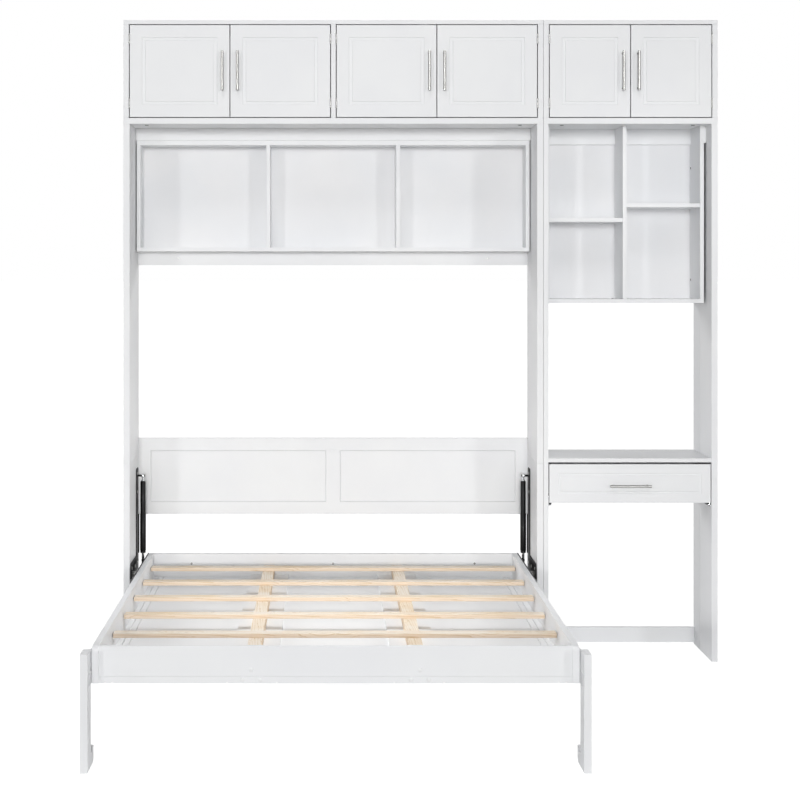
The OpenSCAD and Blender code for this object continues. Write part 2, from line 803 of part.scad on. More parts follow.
// Drawer member of each slide, in the middle member's channel
module drawer_members() {
    z0 = slide_z + 2 * slide_step;
    color(BLACK)
    for (side = [-1, 1])
        translate([desk_mid_x, 0, 0]) mirror([side < 0 ? 1 : 0, 0, 0])
            board(drawer_half, desk_half - 2 * slide_step, drawer_front_t,
                  slide_start_d + runner_l, z0, z0 + slide_h - 4 * slide_step);
}

// ---- Fixed part of the bed's mechanism ----

// Plate on a side panel: a foot round the pivot, an upright strip, a stiffening flange and
// the stud that carries the strut's upper end
module strut_plate() {
    across(plate_x, plate_t)
    difference() {
        union() {
            rounded_plate(foot_plate_d, strip_d + strip_w, foot_plate_z, foot_plate_top_z, foot_plate_r);
            rounded_plate(strip_d, strip_d + strip_w, foot_plate_z, strip_top_z, strip_r);
        }
        translate([pivot_d, pivot_z]) circle(d = pivot_pin_dia);
    }
    pin_x(strut_x - eye_w / 2 - stud_end, plate_x, strut_d, strut_top_z, stud_dia);
    board(plate_x - flange_w, plate_x, strip_d + strip_w - plate_t, strip_d + strip_w,
          foot_plate_top_z, flange_top_z);
}

module strut_plates() {
    color(BLACK) on_both_sides() strut_plate();
}

// Pins for the bed's pivots with their bushes, and plate screws
module pivot_pins() {
    foot_screw_z = foot_plate_top_z - plate_screw_edge;
    low_screw_z = foot_plate_z + plate_screw_edge + 10;
    strip_screw_d = strip_d + 14;
    foot_mid_d = (foot_plate_d + strip_d + strip_w) / 2;
    screw_places = [[foot_plate_d + plate_screw_edge, foot_screw_z], [foot_mid_d, foot_screw_z - 10],
                    [strip_d + plate_screw_edge, low_screw_z],
                    [strip_d + strip_w - plate_screw_edge, low_screw_z],
                    [strip_screw_d, strut_top_z - 60], [strip_screw_d, strut_top_z + 10]];
    color(NICKEL)
    on_both_sides() {
        pin_x(bed_half - rail_t + 1, bay_half, pivot_d, pivot_z, pivot_pin_dia);
        difference() {
            pin_x(bed_plate_x + face_fit, plate_x, pivot_d, pivot_z, pivot_bush_dia);
            pin_x(bed_plate_x, plate_x + 1, pivot_d, pivot_z, pivot_pin_dia);
        }
        for (place = screw_places)
            pin_x(plate_x - plate_screw_h, plate_x, place[0], place[1], plate_screw_dia);
    }
}

// Small dark fixings under the cupboards and in the hutch
module case_fixings() {
    cam_dia = 14;
    cam_h = 1.2;
    cam_d = 68;
    cam_inset = 57;
    screw_dia = 8;
    low_screw_z = hutch_floor_z + 72;
    high_screw_z = unit_h - 150;
    side_screw_d = hutch_back_d - 20;
    floor_screw_x = hutch_mid_x - 30;
    floor_screw_d = hutch_front_d + 114;
    cam_places = [bed_x - bay_half + cam_inset, bed_x + bay_half - cam_inset,
                  desk_left_x + cam_inset, desk_right_x - cam_inset];
    color(BLACK) {
        for (x = cam_places)
            translate([x, front_y + cam_d, unit_h - cam_h]) cylinder(h = cam_h, d = cam_dia);
        for (z = [low_screw_z, high_screw_z])
            pin_x(hutch_right_x - shelf_t - cam_h, hutch_right_x - shelf_t, side_screw_d, z, screw_dia);
        translate([floor_screw_x, front_y + floor_screw_d, hutch_floor_z])
            cylinder(h = cam_h, d = screw_dia);
    }
}

// ---- Bed ----

// Side view of a side rail, with a round upper corner at the foot end
module rail_profile() {
    r = rail_corner_r;
    translate([tray_foot_d, bed_z]) square([tray_l, rail_h - r]);
    translate([tray_foot_d + r, bed_z]) square([tray_l - r, rail_h]);
    translate([tray_foot_d + r, rail_top_z - r]) circle(r);
}

// Side rails, bored for the pivot pins and the legs' pins
module bed_rails() {
    color(WHITE)
    on_both_sides()
        difference() {
            across(bed_half - rail_t, rail_t) rail_profile();
            pin_x(bed_half - rail_t - 1, bed_half + 1, pivot_d, pivot_z, pivot_pin_dia + 2 * pin_fit);
            pin_x(bed_half - rail_t - 1, bed_half + 1, leg_pivot_d, leg_pivot_z, leg_pin_dia);
        }
}

module head_rail() {
    color(WHITE)
        board(bed_x - bed_half + rail_t, bed_x + bed_half - rail_t, tray_rear_d - rail_t, tray_rear_d,
              face_top_z, rail_top_z);
}

module foot_rail() {
    color(WHITE)
        board(bed_x - bed_half + rail_t, bed_x + bed_half - rail_t, foot_rail_d, foot_rail_d + rail_t,
              face_top_z, rail_top_z);
}

// Panel between the side rails, with joint lines on its outer face, the double ones at its
// edges on its inner face too, and a raised stile under each bar
module face_panel() {
    line_w = 2;
    line_deep = 4;
    stile_end = face_stile_x + face_stile_w;
    edge_lines = [face_edge_line_x - face_line_pitch / 2, face_edge_line_x + face_line_pitch / 2];
    color(WHITE)
    on_both_sides() {
        difference() {
            board(0, bed_half - rail_t, foot_rail_d, tray_rear_d, bed_z, face_top_z);
            for (x = concat(edge_lines, [face_stile_x, stile_end]))
                board(x - line_w / 2, x + line_w / 2, foot_rail_d - 1, tray_rear_d + 1,
                      bed_z - 1, bed_z + line_deep);
            for (x = edge_lines)
                board(x - line_w / 2, x + line_w / 2, foot_rail_d + rail_t, tray_rear_d - rail_t,
                      face_top_z - line_deep, face_top_z + 1);
        }
        board(face_stile_x, stile_end, foot_rail_d + rail_t, tray_rear_d - rail_t,
              face_top_z, bar_low_z);
    }
}

module slat_bars() {
    color(PINE)
    for (side = [-1, 1])
        board(bed_x + side * bar_x - bar_w / 2, bed_x + side * bar_x + bar_w / 2,
              foot_rail_d + rail_t, tray_rear_d - rail_t, bar_low_z, slat_top_z - slat_t);
}

function slat_rear_d(i) = tray_rear_d - slat_start - i * slat_pitch;

module slats() {
    color(PINE)
    for (i = [0 : slat_count - 1])
        board(bed_x - slat_l / 2, bed_x + slat_l / 2, slat_rear_d(i) - slat_w, slat_rear_d(i),
              slat_top_z - slat_t, slat_top_z);
}

// Plate on a bed rail, with the stud that carries the strut's lower end
module bed_plate() {
    across(bed_half, plate_t)
    difference() {
        rounded_plate(bed_plate_front_d, bed_plate_rear_d, rail_top_z - bed_plate_h,
                      rail_top_z + bed_plate_rise, bed_plate_r);
        translate([pivot_d, pivot_z]) circle(d = pivot_pin_dia + 2 * pin_fit);
    }
    pin_x(bed_plate_x, strut_x - eye_w / 2 - face_fit, strut_d, strut_low_z, stud_dia);
    pin_x(bed_plate_x, bed_plate_x + stud_collar_h, strut_d, strut_low_z, stud_collar_dia);
}

module bed_plates() {
    color(BLACK) on_both_sides() bed_plate();
}

// Plate screws, legs' pivot pins, screw heads in the head rail and caps on the foot rail
module bed_screws() {
    head_h = 1;
    head_dia = 8;
    cap_dia = 14;
    cap_pitch = 52;
    cap_z = face_top_z + 19;
    end_screw_inset = 166;
    end_screw_x = bed_half - end_screw_inset;
    end_screw_z = slat_top_z - 8;
    rail_screw_dia = 10;
    rail_screw_h = 2;
    rail_screw_z = rail_top_z - 22;
    rail_screw_ds = [bed_plate_front_d + plate_screw_edge, (bed_plate_front_d + pivot_d) / 2 + 17,
                     (pivot_d + strut_d) / 2 - 45, bed_plate_rear_d - plate_screw_edge - 14];
    color(NICKEL) {
        on_both_sides() {
            for (d = rail_screw_ds)
                pin_x(bed_plate_x, bed_plate_x + rail_screw_h, d, rail_screw_z, rail_screw_dia);
            pin_x(bed_half - rail_t, leg_x + face_fit, leg_pivot_d, leg_pivot_z, leg_pin_dia);
            pin_x(leg_x + face_fit, leg_x + face_fit + leg_pin_head_h, leg_pivot_d, leg_pivot_z,
                  leg_pin_head_dia);
        }
        for (x = [-1, 0, 1])
            pin_y(bed_x + x * end_screw_x, tray_rear_d - rail_t - head_h, tray_rear_d - rail_t,
                  end_screw_z, head_dia);
        for (side = [-1, 1]) {
            pin_y(bed_x + side * bar_x, foot_rail_d - head_h, foot_rail_d, cap_z, cap_dia);
            for (x = [-1, 1])
                pin_y(bed_x + side * bar_x + x * cap_pitch / 2, foot_rail_d - head_h, foot_rail_d,
                      bed_z + face_t / 2, cap_dia);
        }
    }
}

// ---- Legs ----

// Board with a foot that reaches back and a notch over the foot
module leg() {
    rear_d = leg_front_d + leg_w;
    difference() {
        across(leg_x, leg_t) {
            translate([leg_front_d, 0]) square([leg_w, leg_h]);
            translate([leg_front_d, 0]) square([leg_w + foot_l - foot_r, foot_floor_h]);
            translate([leg_front_d, foot_r]) square([leg_w + foot_l, foot_floor_h - foot_r]);
            translate([rear_d + foot_l - foot_r, foot_r]) circle(foot_r);
            rounded_plate(rear_d + foot_l - hook_l, rear_d + foot_l, foot_r, foot_h, hook_r);
        }
        pin_x(leg_x - 1, leg_x + leg_t + 1, leg_bolt_d, leg_bolt_z, leg_bolt_dia);
    }
}

// Angled plate between leg and rail, which turns on the rail's pin, and the leg's bolt
module leg_plate() {
    r = leg_plate_end_r;
    across(leg_x - leg_plate_t, leg_plate_t)
    difference() {
        union() {
            rounded_plate(leg_plate_front_d, leg_pivot_d + r, leg_plate_low_z, leg_plate_top_z,
                          leg_plate_r);
            rounded_plate(leg_pivot_d - r, leg_pivot_d + r, leg_plate_low_z, leg_pivot_z + r - 1,
                          leg_plate_r);
        }
        translate([leg_pivot_d, leg_pivot_z]) circle(d = leg_pin_dia + 2 * pin_fit);
    }
    pin_x(leg_x - leg_plate_t / 2, leg_x + leg_t, leg_bolt_d, leg_bolt_z, leg_bolt_dia);
    translate([leg_x + leg_t, front_y + leg_bolt_d, leg_bolt_z]) rotate([0, 90, 0])
        cylinder(h = leg_bolt_head_h, d1 = leg_bolt_head_dia, d2 = leg_bolt_head_dia * 0.7);
}

module leg_left() { color(WHITE) on_side(-1) leg(); }
module leg_right() { color(WHITE) on_side(1) leg(); }
module leg_left_plate() { color(WHITE) on_side(-1) leg_plate(); }
module leg_right_plate() { color(WHITE) on_side(1) leg_plate(); }

// ---- Gas struts ----

// A round bar along Z in the struts' plane
module strut_bar(z0, z1, dia) {
    translate([strut_x, front_y + strut_d, z0]) cylinder(h = z1 - z0, d = dia);
}

module strut_eye(z) {
    pin_x(strut_x - eye_w / 2, strut_x + eye_w / 2, strut_d, z, eye_dia);
}

// Closed tube with a rod guide in its mouth and an eye on its upper stud
module strut_cylinder() {
    difference() {
        union() {
            strut_bar(cylinder_low_z, cylinder_step_z, cylinder_dia);
            strut_bar(cylinder_step_z, cylinder_top_z, cylinder_upper_dia);
            strut_bar(cylinder_top_z, strut_top_z, neck_dia);
            strut_eye(strut_top_z);
        }
        strut_bar(cylinder_low_z + guide_h, cylinder_top_z - cap_h, cylinder_upper_dia - 2 * cylinder_wall);
        strut_bar(cylinder_low_z - 1, cylinder_low_z + guide_h + 1, rod_dia + 2 * pin_fit);
        pin_x(strut_x - eye_w, strut_x + eye_w, strut_d, strut_top_z, stud_dia + 2 * pin_fit);
    }
}

// Rod with its piston and the eye over the bed's stud
module strut_rod() {
    strut_bar(strut_low_z, piston_z + piston_h, rod_dia);
    strut_bar(piston_z, piston_z + piston_h, cylinder_upper_dia - 2 * cylinder_wall - 2 * pin_fit);
    strut_eye(strut_low_z);
}

module strut_cylinder_left() { color(BLACK) on_side(-1) strut_cylinder(); }
module strut_cylinder_right() { color(BLACK) on_side(1) strut_cylinder(); }
module strut_rod_left() { color(BRIGHT) on_side(-1) strut_rod(); }
module strut_rod_right() { color(BRIGHT) on_side(1) strut_rod(); }

bed_side_left();
bed_side_right();
overhead_rail();
rear_cleats();
headboard();
bookshelf_boards();
bookshelf_uprights();
desk_side_left();
desk_side_right();
hutch_case();
hutch_divider();
hutch_shelves();
desktop();
floor_stretcher();
cupboard_boards();
bed_cupboard_uprights();
desk_cupboard_sides();
back_panels();
hinge_frames();
door_catches();
strut_plates();
pivot_pins();
slide_channels();
case_fixings();
bed_rails();
head_rail();
foot_rail();
face_panel();
slat_bars();
slats();
bed_plates();
bed_screws();
leg_left();
leg_left_plate();
leg_right();
leg_right_plate();
strut_cylinder_left();
strut_rod_left();
strut_cylinder_right();
strut_rod_right();
drawer_front();
drawer_box();
drawer_bottom();
drawer_pull();
drawer_members();
slide_runners();
bed_door_1();
bed_door_1_hardware();
bed_door_2();
bed_door_2_hardware();
bed_door_3();
bed_door_3_hardware();
bed_door_4();
bed_door_4_hardware();
desk_door_1();
desk_door_1_hardware();
desk_door_2();
desk_door_2_hardware();
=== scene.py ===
"""Looks of the wall bed with a desk module: painted boards, pine slats and steel fittings.

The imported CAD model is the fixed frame. Boards and plates are eased copies of their CAD
nodes. Pulls, struts and screw caps are turned anew around the CAD sizes. Every length in
this file is in metres unless its name ends in _mm.
"""

from __future__ import annotations

import json
import logging
import math
from dataclasses import dataclass
from enum import Enum
from typing import Any, Iterable, Sequence
import bmesh
import bpy
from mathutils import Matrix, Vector

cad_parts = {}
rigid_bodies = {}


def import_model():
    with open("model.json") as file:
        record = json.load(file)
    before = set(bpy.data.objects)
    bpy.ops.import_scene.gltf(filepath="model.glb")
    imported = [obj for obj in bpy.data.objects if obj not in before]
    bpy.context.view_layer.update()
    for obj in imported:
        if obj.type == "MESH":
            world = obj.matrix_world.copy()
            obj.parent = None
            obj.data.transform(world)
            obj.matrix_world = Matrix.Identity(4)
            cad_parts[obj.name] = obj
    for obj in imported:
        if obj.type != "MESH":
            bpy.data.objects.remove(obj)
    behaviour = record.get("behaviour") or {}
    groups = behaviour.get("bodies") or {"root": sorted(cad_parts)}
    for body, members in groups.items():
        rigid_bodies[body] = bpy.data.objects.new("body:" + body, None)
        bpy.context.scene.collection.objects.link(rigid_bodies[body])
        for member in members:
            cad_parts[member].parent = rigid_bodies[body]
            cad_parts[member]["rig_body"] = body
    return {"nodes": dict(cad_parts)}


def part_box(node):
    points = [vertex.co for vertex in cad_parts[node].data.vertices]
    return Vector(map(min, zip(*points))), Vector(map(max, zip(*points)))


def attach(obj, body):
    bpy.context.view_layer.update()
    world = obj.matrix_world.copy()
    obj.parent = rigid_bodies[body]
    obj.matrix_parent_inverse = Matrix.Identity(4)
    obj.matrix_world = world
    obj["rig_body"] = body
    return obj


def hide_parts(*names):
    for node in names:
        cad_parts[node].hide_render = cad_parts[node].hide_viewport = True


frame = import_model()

LOG = logging.getLogger("wall_bed")
MM = 0.001
SHARP_ANGLE = math.radians(32)  # edges that turn more are rounded, and shaded as edges
STEEL_ANGLE = math.radians(50)  # the least turn that is rounded on steel, whose round parts are faceted
FLAT_ANGLE = math.radians(0.6)  # faces that turn less are made one
MERGE_DISTANCE = 2e-6
FLAT_FACE_WEIGHT = 80  # how strongly large faces pull the shading of their edges, 50 is even
RELIEF_RANGE = (0.3, 0.7)  # most values of a noise pattern lie between these
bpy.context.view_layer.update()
DOORS = ("bed_door_1", "bed_door_2", "bed_door_3", "bed_door_4", "desk_door_1", "desk_door_2")


class Axis(Enum):
    """A direction of the shared frame."""

    X = (1.0, 0.0, 0.0)
    Y = (0.0, 1.0, 0.0)
    Z = (0.0, 0.0, 1.0)

    @property
    def vector(self) -> Vector:
        """The direction as a vector."""
        return Vector(self.value)


class Side(Enum):
    """Side of the bed, seen from its foot."""

    LEFT = "left"
    RIGHT = "right"


class Slot(Enum):
    """Material slots of the record."""

    BOARD = "white_board"
    BACK = "white_back"
    PLASTIC = "white_plastic"
    PINE = "pine"
    BLACK = "black_steel"
    WHITE_STEEL = "white_steel"
    STRUT = "strut_black"
    NICKEL = "nickel"
    BRIGHT = "bright_steel"


# ---------------------------------------------------------------- node helpers


def linear(colour: str) -> tuple[float, float, float, float]:
    """Turns an sRGB hex colour into linear light.

    Args:
        colour: Six hex digits, with or without a leading hash.

    Returns:
        Linear red, green and blue, and an alpha of 1.
    """
    digits = colour.lstrip("#")
    parts = [int(digits[i : i + 2], 16) / 255 for i in (0, 2, 4)]
    r, g, b = (p / 12.92 if p <= 0.04045 else ((p + 0.055) / 1.055) ** 2.4 for p in parts)
    return (r, g, b, 1.0)


def add_node(
    tree: bpy.types.NodeTree, kind: str, links: dict | None = None, **settings: Any
) -> bpy.types.Node:
    """Adds a node with its settings and links.

    Args:
        tree: The material's or world's node tree.
        kind: The node's type name.
        links: Input name or number to the socket that feeds it.
        **settings: Properties of the node, and "inputs", a table of input values.

    Returns:
        The new node.
    """
    node = tree.nodes.new(kind)
    for name, value in settings.pop("inputs", {}).items():
        node.inputs[name].default_value = value
    for name, value in settings.items():
        setattr(node, name, value)
    for name, socket in (links or {}).items():
        tree.links.new(socket, node.inputs[name])
    return node


def fill_ramp(node: bpy.types.Node, stops: Sequence[tuple[float, str]]) -> None:
    """Gives a colour ramp its stops.

    Args:
        node: The colour ramp node.
        stops: Position and sRGB hex colour of each stop, at least two.
    """
    ramp = node.color_ramp
    while len(ramp.elements) < len(stops):
        ramp.elements.new(0.5)
    for element, (position, colour) in zip(ramp.elements, stops):
        element.position = position
        element.color = linear(colour)


def seen_by_eye(tree: bpy.types.NodeTree) -> bpy.types.NodeSocket:
    """Adds nodes that give 1 for camera, glossy and transmission rays.

    Args:
        tree: A material's or the world's node tree.

    Returns:
        The socket with that value.
    """
    path = add_node(tree, "ShaderNodeLightPath")
    shiny = add_node(
        tree,
        "ShaderNodeMath",
        {0: path.outputs["Is Glossy Ray"], 1: path.outputs["Is Transmission Ray"]},
        operation="MAXIMUM",
    )
    return add_node(
        tree,
        "ShaderNodeMath",
        {0: path.outputs["Is Camera Ray"], 1: shiny.outputs[0]},
        operation="MAXIMUM",
    ).outputs[0]


@dataclass(frozen=True)
class Finish:
    """A procedural finish: a shader's plain values, and what its subclasses add.

    Attributes:
        name: Name of the material.
        colour: sRGB hex colour.
        roughness: Mean roughness.
        roughness_spread: How far the roughness wanders to each side.
        bump_mm: Height of the surface relief.
        bump_strength: Share of that height that the light sees.
        grain_mm: Size of one feature of that relief.
        metallic: 1 for bare metal.
        coat: Weight of a clear coat.
        coat_roughness: Roughness of that coat.
        gloss: Strength of the reflection seen head-on.
    """

    name: str
    colour: str
    roughness: float = 0.45
    roughness_spread: float = 0.04
    bump_mm: float = 0.03
    bump_strength: float = 0.6
    grain_mm: float = 1.2
    metallic: float = 0.0
    coat: float = 0.0
    coat_roughness: float = 0.15
    gloss: float = 0.5

    def stretch(self) -> tuple[float, float, float]:
        """How much the relief is squeezed along X, Y and Z."""
        return (1.0, 1.0, 1.0)

    def paint(self, tree: bpy.types.NodeTree, place: bpy.types.NodeSocket) -> bpy.types.NodeSocket | None:
        """Builds the colour pattern, if the finish has one.

        Args:
            tree: The material's node tree.
            place: Object coordinates in metres.

        Returns:
            The colour socket, or None for a plain colour.
        """
        return None

    def build(self) -> bpy.types.Material:
        """Builds the material.

        Returns:
            The new material.
        """
        material = bpy.data.materials.new(self.name)
        material.use_nodes = True
        tree = material.node_tree
        tree.nodes.clear()
        place = add_node(tree, "ShaderNodeTexCoord").outputs["Object"]
        squeezed = add_node(
            tree, "ShaderNodeMapping", {"Vector": place}, inputs={"Scale": self.stretch()}
        ).outputs["Vector"]
        relief = add_node(
            tree,
            "ShaderNodeTexNoise",
            {"Vector": squeezed},
            inputs={"Scale": 1 / (self.grain_mm * MM), "Detail": 3.0},
        )
        low, high = RELIEF_RANGE
        wander = add_node(
            tree,
            "ShaderNodeMapRange",
            {"Value": relief.outputs["Fac"]},
            inputs={
                "From Min": low,
                "From Max": high,
                "To Min": self.roughness - self.roughness_spread,
                "To Max": self.roughness + self.roughness_spread,
            },
        )
        bump = add_node(
            tree,
            "ShaderNodeBump",
            {"Height": relief.outputs["Fac"]},
            inputs={"Distance": self.bump_mm * MM, "Strength": self.bump_strength},
        )
        shader = add_node(
            tree,
            "ShaderNodeBsdfPrincipled",
            {"Roughness": wander.outputs["Result"], "Normal": bump.outputs["Normal"]},
            inputs={
                "Base Color": linear(self.colour),
                "Metallic": self.metallic,
                "Coat Weight": self.coat,
                "Coat Roughness": self.coat_roughness,
                "Specular IOR Level": self.gloss,
            },
        )
        colour = self.paint(tree, place)
        if colour is not None:
            tree.links.new(colour, shader.inputs["Base Color"])
        add_node(tree, "ShaderNodeOutputMaterial", {"Surface": shader.outputs["BSDF"]})
        return material


@dataclass(frozen=True)
class PaintedFinish(Finish):
    """An even white whose tint drifts a little over a hand's width.

    Attributes:
        shade: The colour that it drifts to.
        drift_mm: Distance over which it drifts.
    """

    shade: str = "#f1f2f4"
    drift_mm: float = 260.0

    def paint(self, tree: bpy.types.NodeTree, place: bpy.types.NodeSocket) -> bpy.types.NodeSocket:
        """Lets the white drift towards the shade over large distances.

        Args:
            tree: The material's node tree.
            place: Object coordinates in metres.

        Returns:
            The colour socket.
        """
        drift = add_node(
            tree,
            "ShaderNodeTexNoise",
            {"Vector": place},
            inputs={"Scale": 1 / (self.drift_mm * MM), "Detail": 2.0},
        )
        ramp = add_node(tree, "ShaderNodeValToRGB", {"Fac": drift.outputs["Fac"]})
        fill_ramp(ramp, [(0.35, self.shade), (0.65, self.colour)])
        return ramp.outputs["Color"]


@dataclass(frozen=True)
class BrushedFinish(Finish):
    """Brushed or turned metal: the relief is drawn out along one direction.

    Attributes:
        along: Direction of the marks.
        draw: Squeeze of the relief along them.
    """

    along: Axis = Axis.Z
    draw: float = 0.03

    def stretch(self) -> tuple[float, float, float]:
        """The relief is long along the brushing."""
        return tuple(self.draw if part else 1.0 for part in self.along.value)


@dataclass(frozen=True)
class PineFinish(Finish):
    """Planed pine: pale earlywood, thin brown latewood lines along the board, and small knots.

    Attributes:
        along: Direction of the grain, X or Y.
        line_mm: Distance between two latewood lines on a flat-sawn face.
        waver: How much the lines waver.
        knot_mm: Distance between knots along and across the grain.
        knot_r_mm: Half the length of a knot.
        tone_mm: Distance over which the tone differs.
        late: Colour of the latewood lines.
        tone: Tint where the tone is deepest.
        edge: Painted shade on the boards' narrow faces, a little darker and warmer than their tops.
        knot: Colour of a knot.
        draw: Squeeze of the fibres along the grain.
    """

    along: Axis = Axis.X
    line_mm: float = 7.0
    waver: float = 6.0
    knot_mm: tuple[float, float] = (330.0, 80.0)
    knot_r_mm: float = 9.0
    tone_mm: float = 222.2
    late: str = "#dcc7a5"
    tone: str = "#f7ebd8"
    # Painted shade: the colour that upright, narrow faces take
    edge: str = "#fcf1e5"
    knot: str = "#7b4a28"
    draw: float = 0.035

    def stretch(self) -> tuple[float, float, float]:
        """Fibres are long along the grain."""
        return tuple(self.draw if part else 1.0 for part in self.along.value)

    def knot_distance(
        self, tree: bpy.types.NodeTree, place: bpy.types.NodeSocket
    ) -> bpy.types.NodeSocket:
        """Measures how far a place is from the nearest knot, seen from above.

        Args:
            tree: The material's node tree.
            place: Object coordinates in metres.

        Returns:
            The distance, where 1 is the distance between knots along the grain.
        """
        long_mm, short_mm = self.knot_mm
        squeeze = tuple(1 / ((long_mm if part else short_mm) * MM) for part in self.along.value)
        spread = add_node(tree, "ShaderNodeMapping", {"Vector": place}, inputs={"Scale": squeeze})
        return add_node(
            tree,
            "ShaderNodeTexVoronoi",
            {"Vector": spread.outputs["Vector"]},
            voronoi_dimensions="2D",
            inputs={"Scale": 1.0, "Randomness": 1.0},
        ).outputs["Distance"]

    def latewood(
        self, tree: bpy.types.NodeTree, place: bpy.types.NodeSocket, near_knot: bpy.types.NodeSocket
    ) -> bpy.types.NodeSocket:
        """Draws the latewood lines, which bend round the knots.

        Args:
            tree: The material's node tree.
            place: Object coordinates in metres.
            near_knot: Distance from the nearest knot.

        Returns:
            The colour socket.
        """
        bend = add_node(
            tree,
            "ShaderNodeMapRange",
            {"Value": near_knot},
            inputs={
                "From Min": 0.0,
                "From Max": 0.3,
                "To Min": 2.0 * self.line_mm * MM,
                "To Max": 0.0,
            },
        )
        grain = add_node(tree, "ShaderNodeMapping", {"Vector": place}, inputs={"Scale": self.stretch()})
        shifted = add_node(
            tree,
            "ShaderNodeVectorMath",
            {0: grain.outputs["Vector"], 1: bend.outputs["Result"]},
            operation="ADD",
        )
        lines = add_node(
            tree,
            "ShaderNodeTexWave",
            {"Vector": shifted.outputs["Vector"]},
            wave_type="BANDS",
            bands_direction="DIAGONAL",
            wave_profile="SAW",
            inputs={
                "Scale": 0.5 / (self.line_mm * MM),
                "Distortion": self.waver,
                "Detail": 3.0,
                "Detail Scale": 1.4,
            },
        )
        ramp = add_node(tree, "ShaderNodeValToRGB", {"Fac": lines.outputs["Fac"]})
        fill_ramp(ramp, [(0.72, self.colour), (1.0, self.late)])
        return ramp.outputs["Color"]

    def tint(self, tree: bpy.types.NodeTree, place: bpy.types.NodeSocket) -> bpy.types.NodeSocket:
        """Lets the boards' tone differ over a hand's width, and paints shade on their narrow faces.

        Args:
            tree: The material's node tree.
            place: Object coordinates in metres.

        Returns:
            The colour socket, to multiply with.
        """
        cloud = add_node(
            tree,
            "ShaderNodeTexNoise",
            {"Vector": place},
            inputs={"Scale": 1 / (self.tone_mm * MM), "Detail": 2.0},
        )
        ramp = add_node(tree, "ShaderNodeValToRGB", {"Fac": cloud.outputs["Fac"]})
        fill_ramp(ramp, [(0.3, self.tone), (0.55, "#ffffff")])
        # Painted shade: the more upright a face, the more it takes the edge colour, a little darker and
        # warmer.
        surface = add_node(tree, "ShaderNodeNewGeometry")
        facing = add_node(tree, "ShaderNodeSeparateXYZ", {0: surface.outputs["True Normal"]})
        level = add_node(tree, "ShaderNodeMath", {0: facing.outputs["Z"]}, operation="ABSOLUTE")
        return add_node(
            tree,
            "ShaderNodeMix",
            {0: level.outputs[0], 7: ramp.outputs["Color"]},
            data_type="RGBA",
            inputs={6: linear(self.edge)},
        ).outputs[2]

    def paint(self, tree: bpy.types.NodeTree, place: bpy.types.NodeSocket) -> bpy.types.NodeSocket:
        """Joins lines, tint and knots.

        Args:
            tree: The material's node tree.
            place: Object coordinates in metres.

        Returns:
            The colour socket.
        """
        near_knot = self.knot_distance(tree, place)
        toned = add_node(
            tree,
            "ShaderNodeMix",
            {6: self.latewood(tree, place, near_knot), 7: self.tint(tree, place)},
            data_type="RGBA",
            blend_type="MULTIPLY",
            inputs={0: 1.0},
        )
        size = self.knot_r_mm / self.knot_mm[0]
        mask = add_node(
            tree,
            "ShaderNodeMapRange",
            {"Value": near_knot},
            inputs={"From Min": 0.5 * size, "From Max": size, "To Min": 0.9, "To Max": 0.0},
        )
        return add_node(
            tree,
            "ShaderNodeMix",
            {0: mask.outputs["Result"], 6: toned.outputs[2]},
            data_type="RGBA",
            inputs={7: linear(self.knot)},
        ).outputs[2]


@dataclass(frozen=True)
class FloorFinish(Finish):
    """Matt studio floor, pale grey to the lamps and white to the eye, with the object's shadow.

    Attributes:
        shade: The darker of its two greys.
        cloud_mm: Distance over which the grey drifts.
        lift: Light that is added for the eye.
    """

    shade: str = "#dcdcdc"
    cloud_mm: float = 333.3
    lift: float = 0.85

    def build(self) -> bpy.types.Material:
        """Builds the floor's material.

        Returns:
            The new material.
        """
        material = bpy.data.materials.new(self.name)
        material.use_nodes = True
        tree = material.node_tree
        tree.nodes.clear()
        cloud = add_node(
            tree, "ShaderNodeTexNoise", inputs={"Scale": 1 / (self.cloud_mm * MM), "Detail": 2.0}
        )
        ramp = add_node(tree, "ShaderNodeValToRGB", {"Fac": cloud.outputs["Fac"]})
        fill_ramp(ramp, [(0.0, self.shade), (1.0, self.colour)])
        base = add_node(tree, "ShaderNodeBsdfDiffuse", {"Color": ramp.outputs["Color"]})
        glow = add_node(tree, "ShaderNodeEmission", inputs={"Strength": self.lift})
        lit = add_node(tree, "ShaderNodeAddShader", {0: base.outputs[0], 1: glow.outputs[0]})
        seen = add_node(
            tree,
            "ShaderNodeMixShader",
            {0: seen_by_eye(tree), 1: base.outputs[0], 2: lit.outputs[0]},
        )
        add_node(tree, "ShaderNodeOutputMaterial", {"Surface": seen.outputs[0]})
        return material


